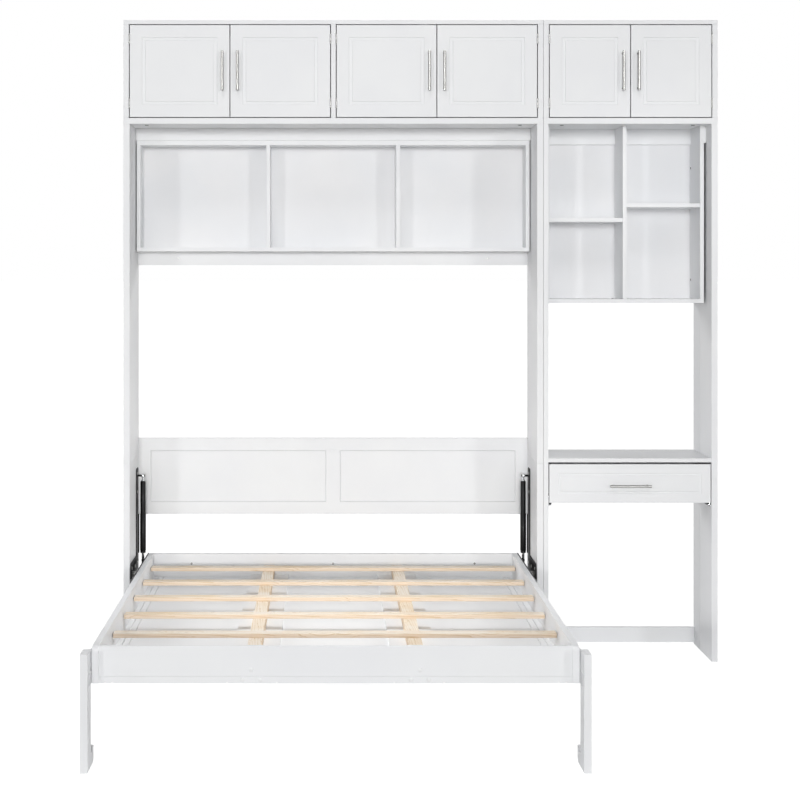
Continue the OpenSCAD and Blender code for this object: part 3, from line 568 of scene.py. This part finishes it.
class Palette:
    """The object's finishes, each built once."""

    # Lacquered fibreboard, sprayed: a cool satin white with a fine orange peel.
    BOARD = PaintedFinish("lacquered_fibreboard", "#f4f5f6", roughness=0.42, grain_mm=2.5, bump_mm=0.04)
    # Thin hardboard with a white foil, pressed: a shade whiter and flatter than the lacquer.
    BACK = PaintedFinish("white_hardboard", "#f5f5f6", roughness=0.5, grain_mm=1.0, bump_mm=0.02)
    # ABS, moulded: clean white with a soft gloss.
    PLASTIC = PaintedFinish("white_abs", "#f0f0f0", roughness=0.28, grain_mm=0.8, bump_mm=0.01)
    # Pine, planed and left bare: pale cream, thin brown lines, small knots; painted shade on narrow faces.
    PINE_ACROSS = PineFinish(
        "planed_pine_slats", "#f3e9dc", roughness=0.6, roughness_spread=0.08, bump_mm=0.1, grain_mm=1.4
    )
    PINE_ALONG = PineFinish(
        "planed_pine_bars",
        "#f3e8d9",
        roughness=0.6,
        roughness_spread=0.08,
        bump_mm=0.1,
        grain_mm=1.4,
        along=Axis.Y,
    )
    # Steel, powder coated: near black with a fine pebbled grain.
    BLACK = Finish(
        "powder_coated_steel", "#111113", roughness=0.55, grain_mm=0.7, bump_mm=0.08, gloss=0.25
    )
    # Steel plate, powder coated white: a little greyer than the boards.
    WHITE_STEEL = Finish("white_coated_steel", "#d9dadc", roughness=0.45, grain_mm=0.7, bump_mm=0.06)
    # Steel tube, wet painted: deep black with a low sheen.
    STRUT = Finish(
        "painted_tube", "#0d0d0e", roughness=0.42, grain_mm=4.0, bump_mm=0.02, coat=0.05, gloss=0.2
    )
    # Steel, nickel plated and brushed: neutral satin grey with fine upright marks.
    NICKEL = BrushedFinish("brushed_nickel", "#989896", roughness=0.32, metallic=1.0, grain_mm=0.5)
    # Steel, drawn and chrome plated: bright, with fine marks along the rod.
    BRIGHT = BrushedFinish(
        "turned_chrome", "#d6d8da", roughness=0.14, metallic=1.0, grain_mm=0.5, bump_mm=0.01
    )
    # Paper, matt: the studio's floor, which throws a little less light back than white paint would.
    FLOOR = FloorFinish("studio_floor", "#e4e4e4")

    def __init__(self) -> None:
        """Starts with nothing built."""
        self._built: dict[str, bpy.types.Material] = {}

    def get(self, finish: Finish) -> bpy.types.Material:
        """Gives a finish's material, and builds it the first time.

        Args:
            finish: One of the finishes above.

        Returns:
            Its material.
        """
        if finish.name not in self._built:
            self._built[finish.name] = finish.build()
        return self._built[finish.name]


PALETTE = Palette()


# ---------------------------------------------------------------- mesh helpers


def sharp_edges(bm: bmesh.types.BMesh, angle: float = SHARP_ANGLE) -> list[bmesh.types.BMEdge]:
    """Finds the edges at which a mesh turns by more than an angle.

    Args:
        bm: The mesh.
        angle: The least turn, in radians.

    Returns:
        Those edges.
    """
    return [e for e in bm.edges if len(e.link_faces) == 2 and e.calc_face_angle(0.0) > angle]


def ease(bm: bmesh.types.BMesh, radius: float, segments: int = 2, angle: float = SHARP_ANGLE) -> None:
    """Rounds a mesh's sharp edges.

    Args:
        bm: The mesh.
        radius: Width of the rounding.
        segments: Faces across it.
        angle: Edges that turn less are left.
    """
    bmesh.ops.bevel(
        bm,
        geom=sharp_edges(bm, angle),
        offset=radius,
        offset_type="OFFSET",
        segments=segments,
        profile=0.5,
        affect="EDGES",
        clamp_overlap=True,
        material=-1,
    )


def cad_mesh(node: str) -> bmesh.types.BMesh:
    """Copies a CAD node's mesh, merged, with its flat faces made whole.

    Args:
        node: Name of the node.

    Returns:
        The copy.
    """
    bm = bmesh.new()
    bm.from_mesh(frame["nodes"][node].data)
    bmesh.ops.remove_doubles(bm, verts=bm.verts, dist=MERGE_DISTANCE)
    bmesh.ops.dissolve_limit(bm, angle_limit=FLAT_ANGLE, verts=bm.verts, edges=bm.edges)
    return bm


def lathe(
    bm: bmesh.types.BMesh,
    profile: Sequence[tuple[float, float]],
    base: Vector,
    axis: Vector,
    steps: int = 32,
) -> None:
    """Turns a profile round an axis and adds it to a mesh.

    Args:
        bm: The mesh that takes the turned solid.
        profile: Radius and height over the base of each point. An end off the axis leaves a hole.
        base: Foot of the axis.
        axis: Direction of the axis.
        steps: Faces round the solid.
    """
    across = axis.orthogonal().normalized()
    along = axis.normalized()
    points = [bm.verts.new(base + across * r + along * h) for r, h in profile]
    edges = [bm.edges.new(pair) for pair in zip(points, points[1:])]
    bmesh.ops.spin(
        bm,
        geom=points + edges,
        cent=base,
        axis=along,
        angle=2 * math.pi,
        steps=steps,
        use_merge=True,
        use_duplicate=False,
    )
    bmesh.ops.remove_doubles(bm, verts=bm.verts, dist=MERGE_DISTANCE)


def body_of(node: str) -> str:
    """Gives the CAD body that a node rides on."""
    return frame["nodes"][node]["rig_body"]


def publish(
    bm: bmesh.types.BMesh,
    name: str,
    finish: Finish,
    replaces: Iterable[str],
    body: str | None = None,
    turned: bool = False,
) -> bpy.types.Object:
    """Makes a finished object of a mesh and puts it in the frame.

    Args:
        bm: The mesh, in the shared frame. It is freed.
        name: Name of the piece.
        finish: Its finish.
        replaces: CAD nodes that the piece stands for.
        body: CAD body that it rides on, or None for that of the first node.
        turned: Whether the normals are recalculated, as new solids need.

    Returns:
        The object.
    """
    nodes = list(replaces)
    if turned:
        bmesh.ops.recalc_face_normals(bm, faces=bm.faces)
    mesh = bpy.data.meshes.new(name)
    bm.to_mesh(mesh)
    bm.free()
    mesh.shade_smooth()
    mesh.set_sharp_from_angle(angle=SHARP_ANGLE)
    mesh.materials.append(PALETTE.get(finish))
    piece = bpy.data.objects.new(name, mesh)
    bpy.context.scene.collection.objects.link(piece)
    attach(piece, body or frame["nodes"][nodes[0]]["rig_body"])
    if nodes:
        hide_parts(*nodes)
    LOG.info("%s: %d faces, %s", name, len(mesh.polygons), finish.name)
    return piece


def weighted(piece: bpy.types.Object) -> bpy.types.Object:
    """Keeps flat faces flat beside their rounded edges.

    Args:
        piece: An object with eased edges.

    Returns:
        The same object.
    """
    modifier = piece.modifiers.new("flat_faces", "WEIGHTED_NORMAL")
    modifier.keep_sharp = False
    modifier.weight = FLAT_FACE_WEIGHT
    return piece


# ---------------------------------------------------------------- sub-assemblies


@dataclass
class BoardGroup:
    """Boards of one sub-assembly, each an eased copy of its CAD node.

    Attributes:
        nodes: CAD nodes to dress.
        finish: Their finish.
        slot: The record's slot; not used.
        edge: Radius of the eased edges.
        suffix: Ending of the pieces' names.
    """

    nodes: Sequence[str]
    finish: Finish = Palette.BOARD
    slot: Slot = Slot.BOARD
    edge: float = 0.9 * MM
    suffix: str = "eased"

    def build(self) -> list[bpy.types.Object]:
        """Dresses every node.

        Returns:
            The pieces.
        """
        return [self.dress(node) for node in self.nodes]

    def dress(self, node: str) -> bpy.types.Object:
        """Dresses one node.

        Args:
            node: Name of the CAD node.

        Returns:
            The piece.
        """
        bm = cad_mesh(node)
        ease(bm, self.edge)
        return weighted(publish(bm, f"{node}_{self.suffix}", self.finish, [node]))


@dataclass
class Slats:
    """The pine slats and the bars under them.

    Attributes:
        edge: Radius of the planed edges.
    """

    edge: float = 1.5 * MM

    def build(self) -> list[bpy.types.Object]:
        """Dresses slats and bars, each with the grain along it.

        Returns:
            The pieces.
        """
        slats = BoardGroup(["slats"], Palette.PINE_ACROSS, Slot.PINE, self.edge, "planed")
        bars = BoardGroup(["slat_bars"], Palette.PINE_ALONG, Slot.PINE, self.edge, "planed")
        return slats.build() + bars.build()


@dataclass
class Pull:
    """A bar pull on two posts, turned from rod.

    Attributes:
        along: Direction of the bar.
        length: Length of the bar.
        reach: Distance of the bar's middle from the door's face.
        bar_r: Radius of the bar.
        post_r: Radius of a post.
        pitch: Distance between the posts.
        chamfer: Chamfer at the bar's ends.
        flare: How much wider a post's foot is, and its height.
    """

    along: Axis
    length: float
    reach: float = 26 * MM
    bar_r: float = 5 * MM
    post_r: float = 4 * MM
    pitch: float = 128 * MM
    chamfer: float = 0.9 * MM
    flare: float = 1.2 * MM

    def add_to(self, bm: bmesh.types.BMesh, face_y: float, centre: Vector) -> None:
        """Adds bar and posts to a mesh.

        Args:
            bm: The mesh.
            face_y: Where the face of the door or drawer is, along Y.
            centre: Middle of the bar.
        """
        along = self.along.vector
        end, c, r = self.length / 2, self.chamfer, self.bar_r
        bar = [(0, 0), (r - c, 0), (r, c), (r, 2 * end - c), (r - c, 2 * end), (0, 2 * end)]
        lathe(bm, bar, centre - along * end, along)
        p, h, wide = self.post_r, self.flare, self.post_r + self.flare / 2
        post = [(0, 0), (wide, 0), (wide, h), (p, h * 1.6), (p, self.reach), (0, self.reach)]
        for side in (-1, 1):
            foot = centre + along * (side * self.pitch / 2)
            foot.y = face_y
            lathe(bm, post, foot, -Axis.Y.vector, steps=24)


def islands(bm: bmesh.types.BMesh) -> list[list[bmesh.types.BMVert]]:
    """Splits a mesh into its separate solids.

    Args:
        bm: The mesh.

    Returns:
        The vertices of each solid.
    """
    left = set(bm.verts)
    found = []
    while left:
        stack = [left.pop()]
        group = []
        while stack:
            vert = stack.pop()
            group.append(vert)
            for edge in vert.link_edges:
                other = edge.other_vert(vert)
                if other in left:
                    left.remove(other)
                    stack.append(other)
        found.append(group)
    return found


def extent(verts: Iterable[bmesh.types.BMVert]) -> tuple[Vector, Vector]:
    """Finds the box round some vertices.

    Args:
        verts: The vertices.

    Returns:
        Its lowest and highest corners.
    """
    places = [v.co for v in verts]
    low = Vector(tuple(min(p[i] for p in places) for i in range(3)))
    high = Vector(tuple(max(p[i] for p in places) for i in range(3)))
    return low, high


@dataclass
class DoorHardware:
    """A door's pull and its hinge leaves.

    Attributes:
        door: CAD node of the door.
        edge: Radius of the leaves' edges.
    """

    door: str
    edge: float = 0.25 * MM

    def build(self) -> bpy.types.Object:
        """Keeps the leaves as eased CAD copies and turns the pull anew.

        Returns:
            The piece.
        """
        node = f"{self.door}_hardware"
        bm = cad_mesh(node)
        groups = islands(bm)
        pull = max(groups, key=lambda g: (extent(g)[1] - extent(g)[0]).z)
        low, high = extent(pull)
        bmesh.ops.delete(bm, geom=pull, context="VERTS")
        ease(bm, self.edge, segments=1)
        face_y = high.y
        shape = Pull(Axis.Z, high.z - low.z)
        centre = Vector(((low.x + high.x) / 2, face_y - shape.reach, (low.z + high.z) / 2))
        shape.add_to(bm, face_y, centre)
        return publish(bm, f"{node}_turned", Palette.NICKEL, [node], turned=True)


@dataclass
class DrawerPull:
    """The drawer's level pull.

    Attributes:
        node: CAD node of the pull.
    """

    node: str = "drawer_pull"

    def build(self) -> bpy.types.Object:
        """Turns the pull around the CAD node's box.

        Returns:
            The piece.
        """
        low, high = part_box(self.node)
        bm = bmesh.new()
        shape = Pull(Axis.X, high.x - low.x)
        centre = Vector(((low.x + high.x) / 2, high.y - shape.reach, (low.z + high.z) / 2))
        shape.add_to(bm, high.y, centre)
        return publish(bm, f"{self.node}_turned", Palette.NICKEL, [self.node], turned=True)


@dataclass
class MetalGroup:
    """Steel fittings that keep their CAD shape, with broken edges.

    Attributes:
        nodes: CAD nodes to dress.
        finish: Their finish.
        slot: The record's slot; not used.
        edge: Radius of the broken edges.
    """

    nodes: Sequence[str]
    finish: Finish
    slot: Slot
    edge: float = 0.35 * MM

    def build(self) -> list[bpy.types.Object]:
        """Dresses every node.

        Returns:
            The pieces.
        """
        pieces = []
        for node in self.nodes:
            bm = cad_mesh(node)
            ease(bm, self.edge, angle=STEEL_ANGLE)
            pieces.append(publish(bm, f"{node}_dressed", self.finish, [node]))
        return pieces


@dataclass
class BedScrews:
    """Screws and pins of the bed, and the white caps over the screws in its foot rail.

    Attributes:
        node: CAD node that holds them all.
        edge: Radius of the broken edges.
        rise: Height of a cap's dome.
        near: The caps lie this close to the foremost point.
    """

    node: str = "bed_screws"
    edge: float = 0.3 * MM
    rise: float = 2.2 * MM
    near: float = 2 * MM

    def build(self) -> list[bpy.types.Object]:
        """Keeps the steel as eased CAD copies and turns the caps anew.

        Returns:
            The steel and the caps.
        """
        steel = cad_mesh(self.node)
        front = extent(steel.verts)[0].y
        groups = [group for group in islands(steel) if extent(group)[1].y < front + self.near]
        boxes = [extent(group) for group in groups]
        bmesh.ops.delete(steel, geom=[vert for group in groups for vert in group], context="VERTS")
        ease(steel, self.edge, angle=STEEL_ANGLE)
        caps = bmesh.new()
        for low, high in boxes:
            r, h = (high.x - low.x) / 2, self.rise
            rim = [(0, 0), (r, 0), (r, 0.3 * h), (r - 0.4 * h, 0.7 * h)]
            crown = [(r - 1.4 * h, 0.95 * h), (0, h)]
            seat = Vector(((low.x + high.x) / 2, high.y, (low.z + high.z) / 2))
            lathe(caps, rim + crown, seat, -Axis.Y.vector)
        body = body_of(self.node)
        return [
            publish(steel, f"{self.node}_dressed", Palette.NICKEL, [self.node]),
            publish(caps, "foot_rail_caps", Palette.PLASTIC, [], body, turned=True),
        ]


@dataclass
class GasStrut:
    """One gas strut: a painted tube with a crimped mouth, a bright rod and two end fittings.

    Attributes:
        side: Side of the bed.
        tube_r: Radius of the tube's lower part.
        upper_r: Radius of its upper part.
        rod_r: Radius of the rod, and half the width of an eye.
        rod_gap: Gap round the rod in the tube's mouth.
        eye_r: Radius of an eye.
        step_h: Height of the step between the tube's parts over its mouth.
        mouth_depth: Depth of the mouth round the rod.
        shoulder_drop: Distance of the tube's top from the middle of the upper eye.
    """

    side: Side
    tube_r: float = 11.5 * MM
    upper_r: float = 10 * MM
    rod_r: float = 5 * MM
    rod_gap: float = 0.05 * MM
    eye_r: float = 8 * MM
    step_h: float = 151 * MM
    mouth_depth: float = 8 * MM
    shoulder_drop: float = 20 * MM

    @property
    def tube_node(self) -> str:
        """CAD node of the tube."""
        return f"strut_cylinder_{self.side.value}"

    @property
    def rod_node(self) -> str:
        """CAD node of the rod."""
        return f"strut_rod_{self.side.value}"

    def build(self) -> list[bpy.types.Object]:
        """Builds tube, rod and the fittings at their ends."""
        return [self.tube(), self.upper_fitting(), self.rod(), self.lower_fitting()]

    def centre(self) -> Vector:
        """Middle of the tube's mouth."""
        low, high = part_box(self.tube_node)
        return Vector(((low.x + high.x) / 2, (low.y + high.y) / 2, low.z))

    def upper_eye(self) -> Vector:
        """Middle of the upper fitting."""
        foot = self.centre()
        return Vector((foot.x, foot.y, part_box(self.tube_node)[1].z - self.eye_r))

    def lower_eye(self) -> Vector:
        """Middle of the lower fitting."""
        foot = self.centre()
        return Vector((foot.x, foot.y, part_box(self.rod_node)[0].z + self.eye_r))

    def tube(self) -> bpy.types.Object:
        """Turns the tube, with a crimp at its mouth, a step and a rounded shoulder.

        Returns:
            The piece.
        """
        foot = self.centre()
        shoulder = self.upper_eye().z - self.shoulder_drop - foot.z
        r, u, s = self.tube_r, self.upper_r, self.step_h
        bore = self.rod_r + self.rod_gap
        depth = self.mouth_depth
        # Radius and height over the mouth, from the bottom of the bore out and up to the shoulder.
        lip = [(bore, depth), (bore, 0.6 * MM), (bore + 1 * MM, 0)]
        mouth = [(r - 3 * MM, 0), (r - 1 * MM, 1.5 * MM)]
        crimp = [(r - 0.8 * MM, 6 * MM), (r - 1.4 * MM, 7.5 * MM), (r - 0.8 * MM, 9 * MM), (r, 11 * MM)]
        step = [(r, s - 1 * MM), (r - 0.6 * MM, s), (u, s + 0.4 * MM), (u, shoulder - 4 * MM)]
        top = [(u - 1.2 * MM, shoulder - 1 * MM), (u - 4 * MM, shoulder), (0, shoulder)]
        bm = bmesh.new()
        lathe(bm, lip + mouth + crimp + step + top, foot, Axis.Z.vector, steps=48)
        ring = [v for v in bm.verts if abs(v.co.z - foot.z - depth) < MERGE_DISTANCE]
        bmesh.ops.contextual_create(bm, geom=ring)
        node = self.tube_node
        return publish(bm, f"{node}_turned", Palette.STRUT, [node], turned=True)

    def upper_fitting(self) -> bpy.types.Object:
        """Turns the bright neck and the ball socket on the upper stud.

        Returns:
            The piece.
        """
        eye = self.upper_eye()
        neck = self.shoulder_drop
        waist, collar = 4 * MM, 6 * MM
        foot = [(0, 0), (collar, 0), (collar, 4 * MM), (waist, 5 * MM)]
        bm = bmesh.new()
        lathe(bm, foot + [(waist, neck - 6 * MM), (0, neck)], eye - Axis.Z.vector * neck, Axis.Z.vector)
        self.socket(bm, eye)
        name = f"strut_upper_fitting_{self.side.value}"
        return publish(bm, name, Palette.BRIGHT, [], body_of(self.tube_node), turned=True)

    def lower_fitting(self) -> bpy.types.Object:
        """Turns the black ball socket on the bed's stud.

        Returns:
            The piece.
        """
        eye = self.lower_eye()
        r, wide, foot, top = self.rod_r, self.rod_r + 1.2 * MM, 6 * MM, 14 * MM
        collar = [(0, foot), (wide, foot), (wide, top - 1 * MM), (r + 0.1 * MM, top), (0, top)]
        bm = bmesh.new()
        lathe(bm, collar, eye, Axis.Z.vector)
        self.socket(bm, eye)
        name = f"strut_lower_fitting_{self.side.value}"
        return publish(bm, name, Palette.STRUT, [], body_of(self.rod_node), turned=True)

    def socket(self, bm: bmesh.types.BMesh, centre: Vector) -> None:
        """Adds the rounded socket that sits on a stud.

        Args:
            bm: The mesh.
            centre: Middle of the socket.
        """
        r, half, c = self.eye_r, self.rod_r, 1.6 * MM
        profile = [(0, 0), (r - c, 0), (r, c), (r, 2 * half - c), (r - c, 2 * half), (0, 2 * half)]
        lathe(bm, profile, centre - Axis.X.vector * half, Axis.X.vector)

    def rod(self) -> bpy.types.Object:
        """Turns the rod, with its foot in the lower fitting and its top inside the tube.

        Returns:
            The piece.
        """
        node = self.rod_node
        eye = self.lower_eye()
        r, c, foot, top = self.rod_r, 1 * MM, 5 * MM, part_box(self.rod_node)[1].z - eye.z
        bm = bmesh.new()
        lathe(bm, [(0, foot), (r, foot), (r, top - c), (r - c, top), (0, top)], eye, Axis.Z.vector)
        return publish(bm, f"{node}_turned", Palette.BRIGHT, [node], turned=True)


# ---------------------------------------------------------------- studio


@dataclass(frozen=True)
class Sun:
    """A soft light from far away.

    Attributes:
        name: Name of the lamp.
        azimuth: Degrees from straight ahead of the front, to the right.
        elevation: Degrees over the horizon.
        softness: Degrees that the light spans.
        strength: Watts per square metre.
    """

    name: str
    azimuth: float
    elevation: float
    softness: float
    strength: float

    def build(self) -> None:
        """Adds the lamp to the scene."""
        data = bpy.data.lights.new(self.name, "SUN")
        data.angle = math.radians(self.softness)
        data.energy = self.strength
        lamp = bpy.data.objects.new(self.name, data)
        lamp.rotation_euler = (math.radians(90 - self.elevation), 0.0, math.radians(self.azimuth))
        bpy.context.scene.collection.objects.link(lamp)


@dataclass(frozen=True)
class Softbox:
    """A softbox with a grid.

    Attributes:
        name: Name of the lamp.
        place: Where it hangs.
        aim: A place that it points at.
        size: Its width and height.
        spread: Degrees over which its light fans out.
        power: Watts.
    """

    name: str
    place: tuple[float, float, float]
    aim: tuple[float, float, float]
    size: tuple[float, float]
    spread: float
    power: float

    def build(self) -> None:
        """Adds the lamp to the scene."""
        data = bpy.data.lights.new(self.name, "AREA")
        data.shape = "RECTANGLE"
        data.size, data.size_y = self.size
        data.spread = math.radians(self.spread)
        data.energy = self.power
        lamp = bpy.data.objects.new(self.name, data)
        lamp.location = self.place
        heading = Vector(self.aim) - Vector(self.place)
        lamp.rotation_euler = heading.to_track_quat("-Z", "Y").to_euler()
        bpy.context.scene.collection.objects.link(lamp)


@dataclass
class Studio:
    """Floor, light and camera as in the picture.

    Attributes:
        camera_place: The camera's place, level with the vanishing point.
        lens_mm: Focal length.
        sensor_mm: Width of the sensor.
        picture_px: Width of the picture, which is square.
        vanishing_px: The vanishing point, from the picture's left and top.
        view_depth: How far the camera sees.
        floor_size: Width of the floor.
        room_light: Strength of the light from all around.
    """

    camera_place: tuple[float, float, float] = (-0.354, -6.911, 1.4626)
    lens_mm: float = 91.87
    sensor_mm: float = 36.0
    picture_px: float = 800.0
    vanishing_px: tuple[float, float] = (325.0, 267.0)
    view_depth: float = 200.0
    floor_size: float = 400.0
    room_light: float = 0.2

    def lamps(self) -> list[Sun | Softbox]:
        """Lists the lamps: a flat frontal light, two rear ones, and softboxes for the hollows.

        Returns:
            The lamps.
        """
        bed_x, hutch_x = -0.32, 0.86  # the bed's middle, and a place in the hutch's right half
        low_size, low_spread, low_power = (1.6, 0.5), 36.0, 1.4
        return [
            Sun("front", azimuth=0.0, elevation=3.0, softness=8.0, strength=0.89),
            Sun("key_left", azimuth=-24.0, elevation=6.0, softness=5.0, strength=0.32),
            Sun("key_right", azimuth=30.0, elevation=6.0, softness=5.0, strength=0.32),
            Sun("top", azimuth=-8.0, elevation=40.0, softness=10.0, strength=0.29),
            Sun("rear_left", azimuth=-128.0, elevation=12.0, softness=12.0, strength=0.55),
            Sun("rear_right", azimuth=128.0, elevation=12.0, softness=12.0, strength=0.55),
            Softbox(
                "over_bed", (bed_x, -0.35, 5.5), (bed_x, -0.35, 0.0), (1.3, 1.7), spread=24.0, power=3.6
            ),
            Softbox("low_right", (2.4, -0.9, 1.5), (-1.0, -0.2, 0.3), low_size, low_spread, low_power),
            Softbox("low_left", (-3.1, -0.9, 1.5), (0.4, -0.2, 0.3), low_size, low_spread, low_power),
            Softbox("on_tray", (bed_x, -1.4, 3.9), (bed_x, 0.15, 0.4), (1.6, 0.9), spread=18.0, power=0.65),
            Softbox(
                "on_hutch", (hutch_x, -4.5, 1.3), (hutch_x, -0.05, 1.72), (0.4, 0.4), spread=9.0, power=0.08
            ),
        ]

    def build(self) -> None:
        """Sets the whole scene up."""
        self.set_floor()
        self.set_world()
        for lamp in self.lamps():
            lamp.build()
        self.set_camera()
        bpy.context.scene.view_settings.view_transform = "Standard"

    def set_floor(self) -> None:
        """Lays a large pale floor."""
        bm = bmesh.new()
        bmesh.ops.create_grid(bm, x_segments=2, y_segments=2, size=self.floor_size / 2)
        mesh = bpy.data.meshes.new("floor")
        bm.to_mesh(mesh)
        bm.free()
        mesh.materials.append(PALETTE.get(Palette.FLOOR))
        floor = bpy.data.objects.new("floor", mesh)
        bpy.context.scene.collection.objects.link(floor)

    def set_world(self) -> None:
        """Lights the room evenly, and shows white to the eye."""
        world = bpy.data.worlds.new("white_room")
        world.use_nodes = True
        tree = world.node_tree
        tree.nodes.clear()
        room = add_node(
            tree, "ShaderNodeBackground", inputs={"Color": (1, 1, 1, 1), "Strength": self.room_light}
        )
        seen = add_node(tree, "ShaderNodeBackground", inputs={"Color": (1, 1, 1, 1), "Strength": 1.0})
        mix = add_node(
            tree, "ShaderNodeMixShader", {0: seen_by_eye(tree), 1: room.outputs[0], 2: seen.outputs[0]}
        )
        add_node(tree, "ShaderNodeOutputWorld", {"Surface": mix.outputs[0]})
        bpy.context.scene.world = world

    def set_camera(self) -> None:
        """Sets the camera level, square to the front, and shifts its view as in the picture."""
        u, v = self.vanishing_px
        middle = self.picture_px / 2
        data = bpy.data.cameras.new("camera")
        data.lens = self.lens_mm
        data.sensor_width = self.sensor_mm
        data.shift_x = (middle - u) / self.picture_px
        data.shift_y = (v - middle) / self.picture_px
        data.clip_end = self.view_depth
        camera = bpy.data.objects.new("camera", data)
        camera.location = self.camera_place
        camera.rotation_euler = (math.radians(90), 0.0, 0.0)
        bpy.context.scene.collection.objects.link(camera)
        bpy.context.scene.camera = camera


def main() -> None:
    """Builds every sub-assembly, then the studio."""
    logging.basicConfig(level=logging.INFO, format="%(message)s")
    leg_plates = ["leg_left_plate", "leg_right_plate"]
    black_fittings = ["slide_channels", "drawer_members", "case_fixings"]
    groups = [
        BoardGroup(["bed_side_left", "bed_side_right", "overhead_rail", "rear_cleats", "headboard"]),
        BoardGroup(["bookshelf_boards", "bookshelf_uprights"]),
        BoardGroup(["desk_side_left", "desk_side_right", "hutch_case", "hutch_divider", "hutch_shelves"]),
        BoardGroup(["desktop", "floor_stretcher"]),
        BoardGroup(["cupboard_boards", "bed_cupboard_uprights", "desk_cupboard_sides"]),
        BoardGroup(["back_panels"], Palette.BACK, Slot.BACK, edge=0.3 * MM),
        BoardGroup(["door_catches"], Palette.PLASTIC, Slot.PLASTIC, edge=1.2 * MM),
        BoardGroup(["bed_rails", "head_rail", "foot_rail", "face_panel"]),
        BoardGroup(["leg_left", "leg_right"], edge=1.5 * MM),
        BoardGroup(["drawer_front", "drawer_box", "drawer_bottom"]),
        BoardGroup(DOORS, edge=1.2 * MM),
        Slats(),
        MetalGroup(["strut_plates", "bed_plates"], Palette.BLACK, Slot.BLACK),
        MetalGroup(leg_plates, Palette.WHITE_STEEL, Slot.WHITE_STEEL, edge=0.5 * MM),
        MetalGroup(black_fittings, Palette.BLACK, Slot.BLACK, edge=0.2 * MM),
        MetalGroup(["hinge_frames"], Palette.NICKEL, Slot.NICKEL, edge=0.15 * MM),
        MetalGroup(["pivot_pins"], Palette.NICKEL, Slot.NICKEL, edge=0.3 * MM),
        BedScrews(),
        MetalGroup(["slide_runners"], Palette.BRIGHT, Slot.BRIGHT, edge=0.2 * MM),
        GasStrut(Side.LEFT),
        GasStrut(Side.RIGHT),
        DrawerPull(),
    ]
    groups += [DoorHardware(door) for door in DOORS]
    for group in groups:
        group.build()
    Studio().build()
    bpy.context.view_layer.update()


if __name__ == "__main__":
    main()
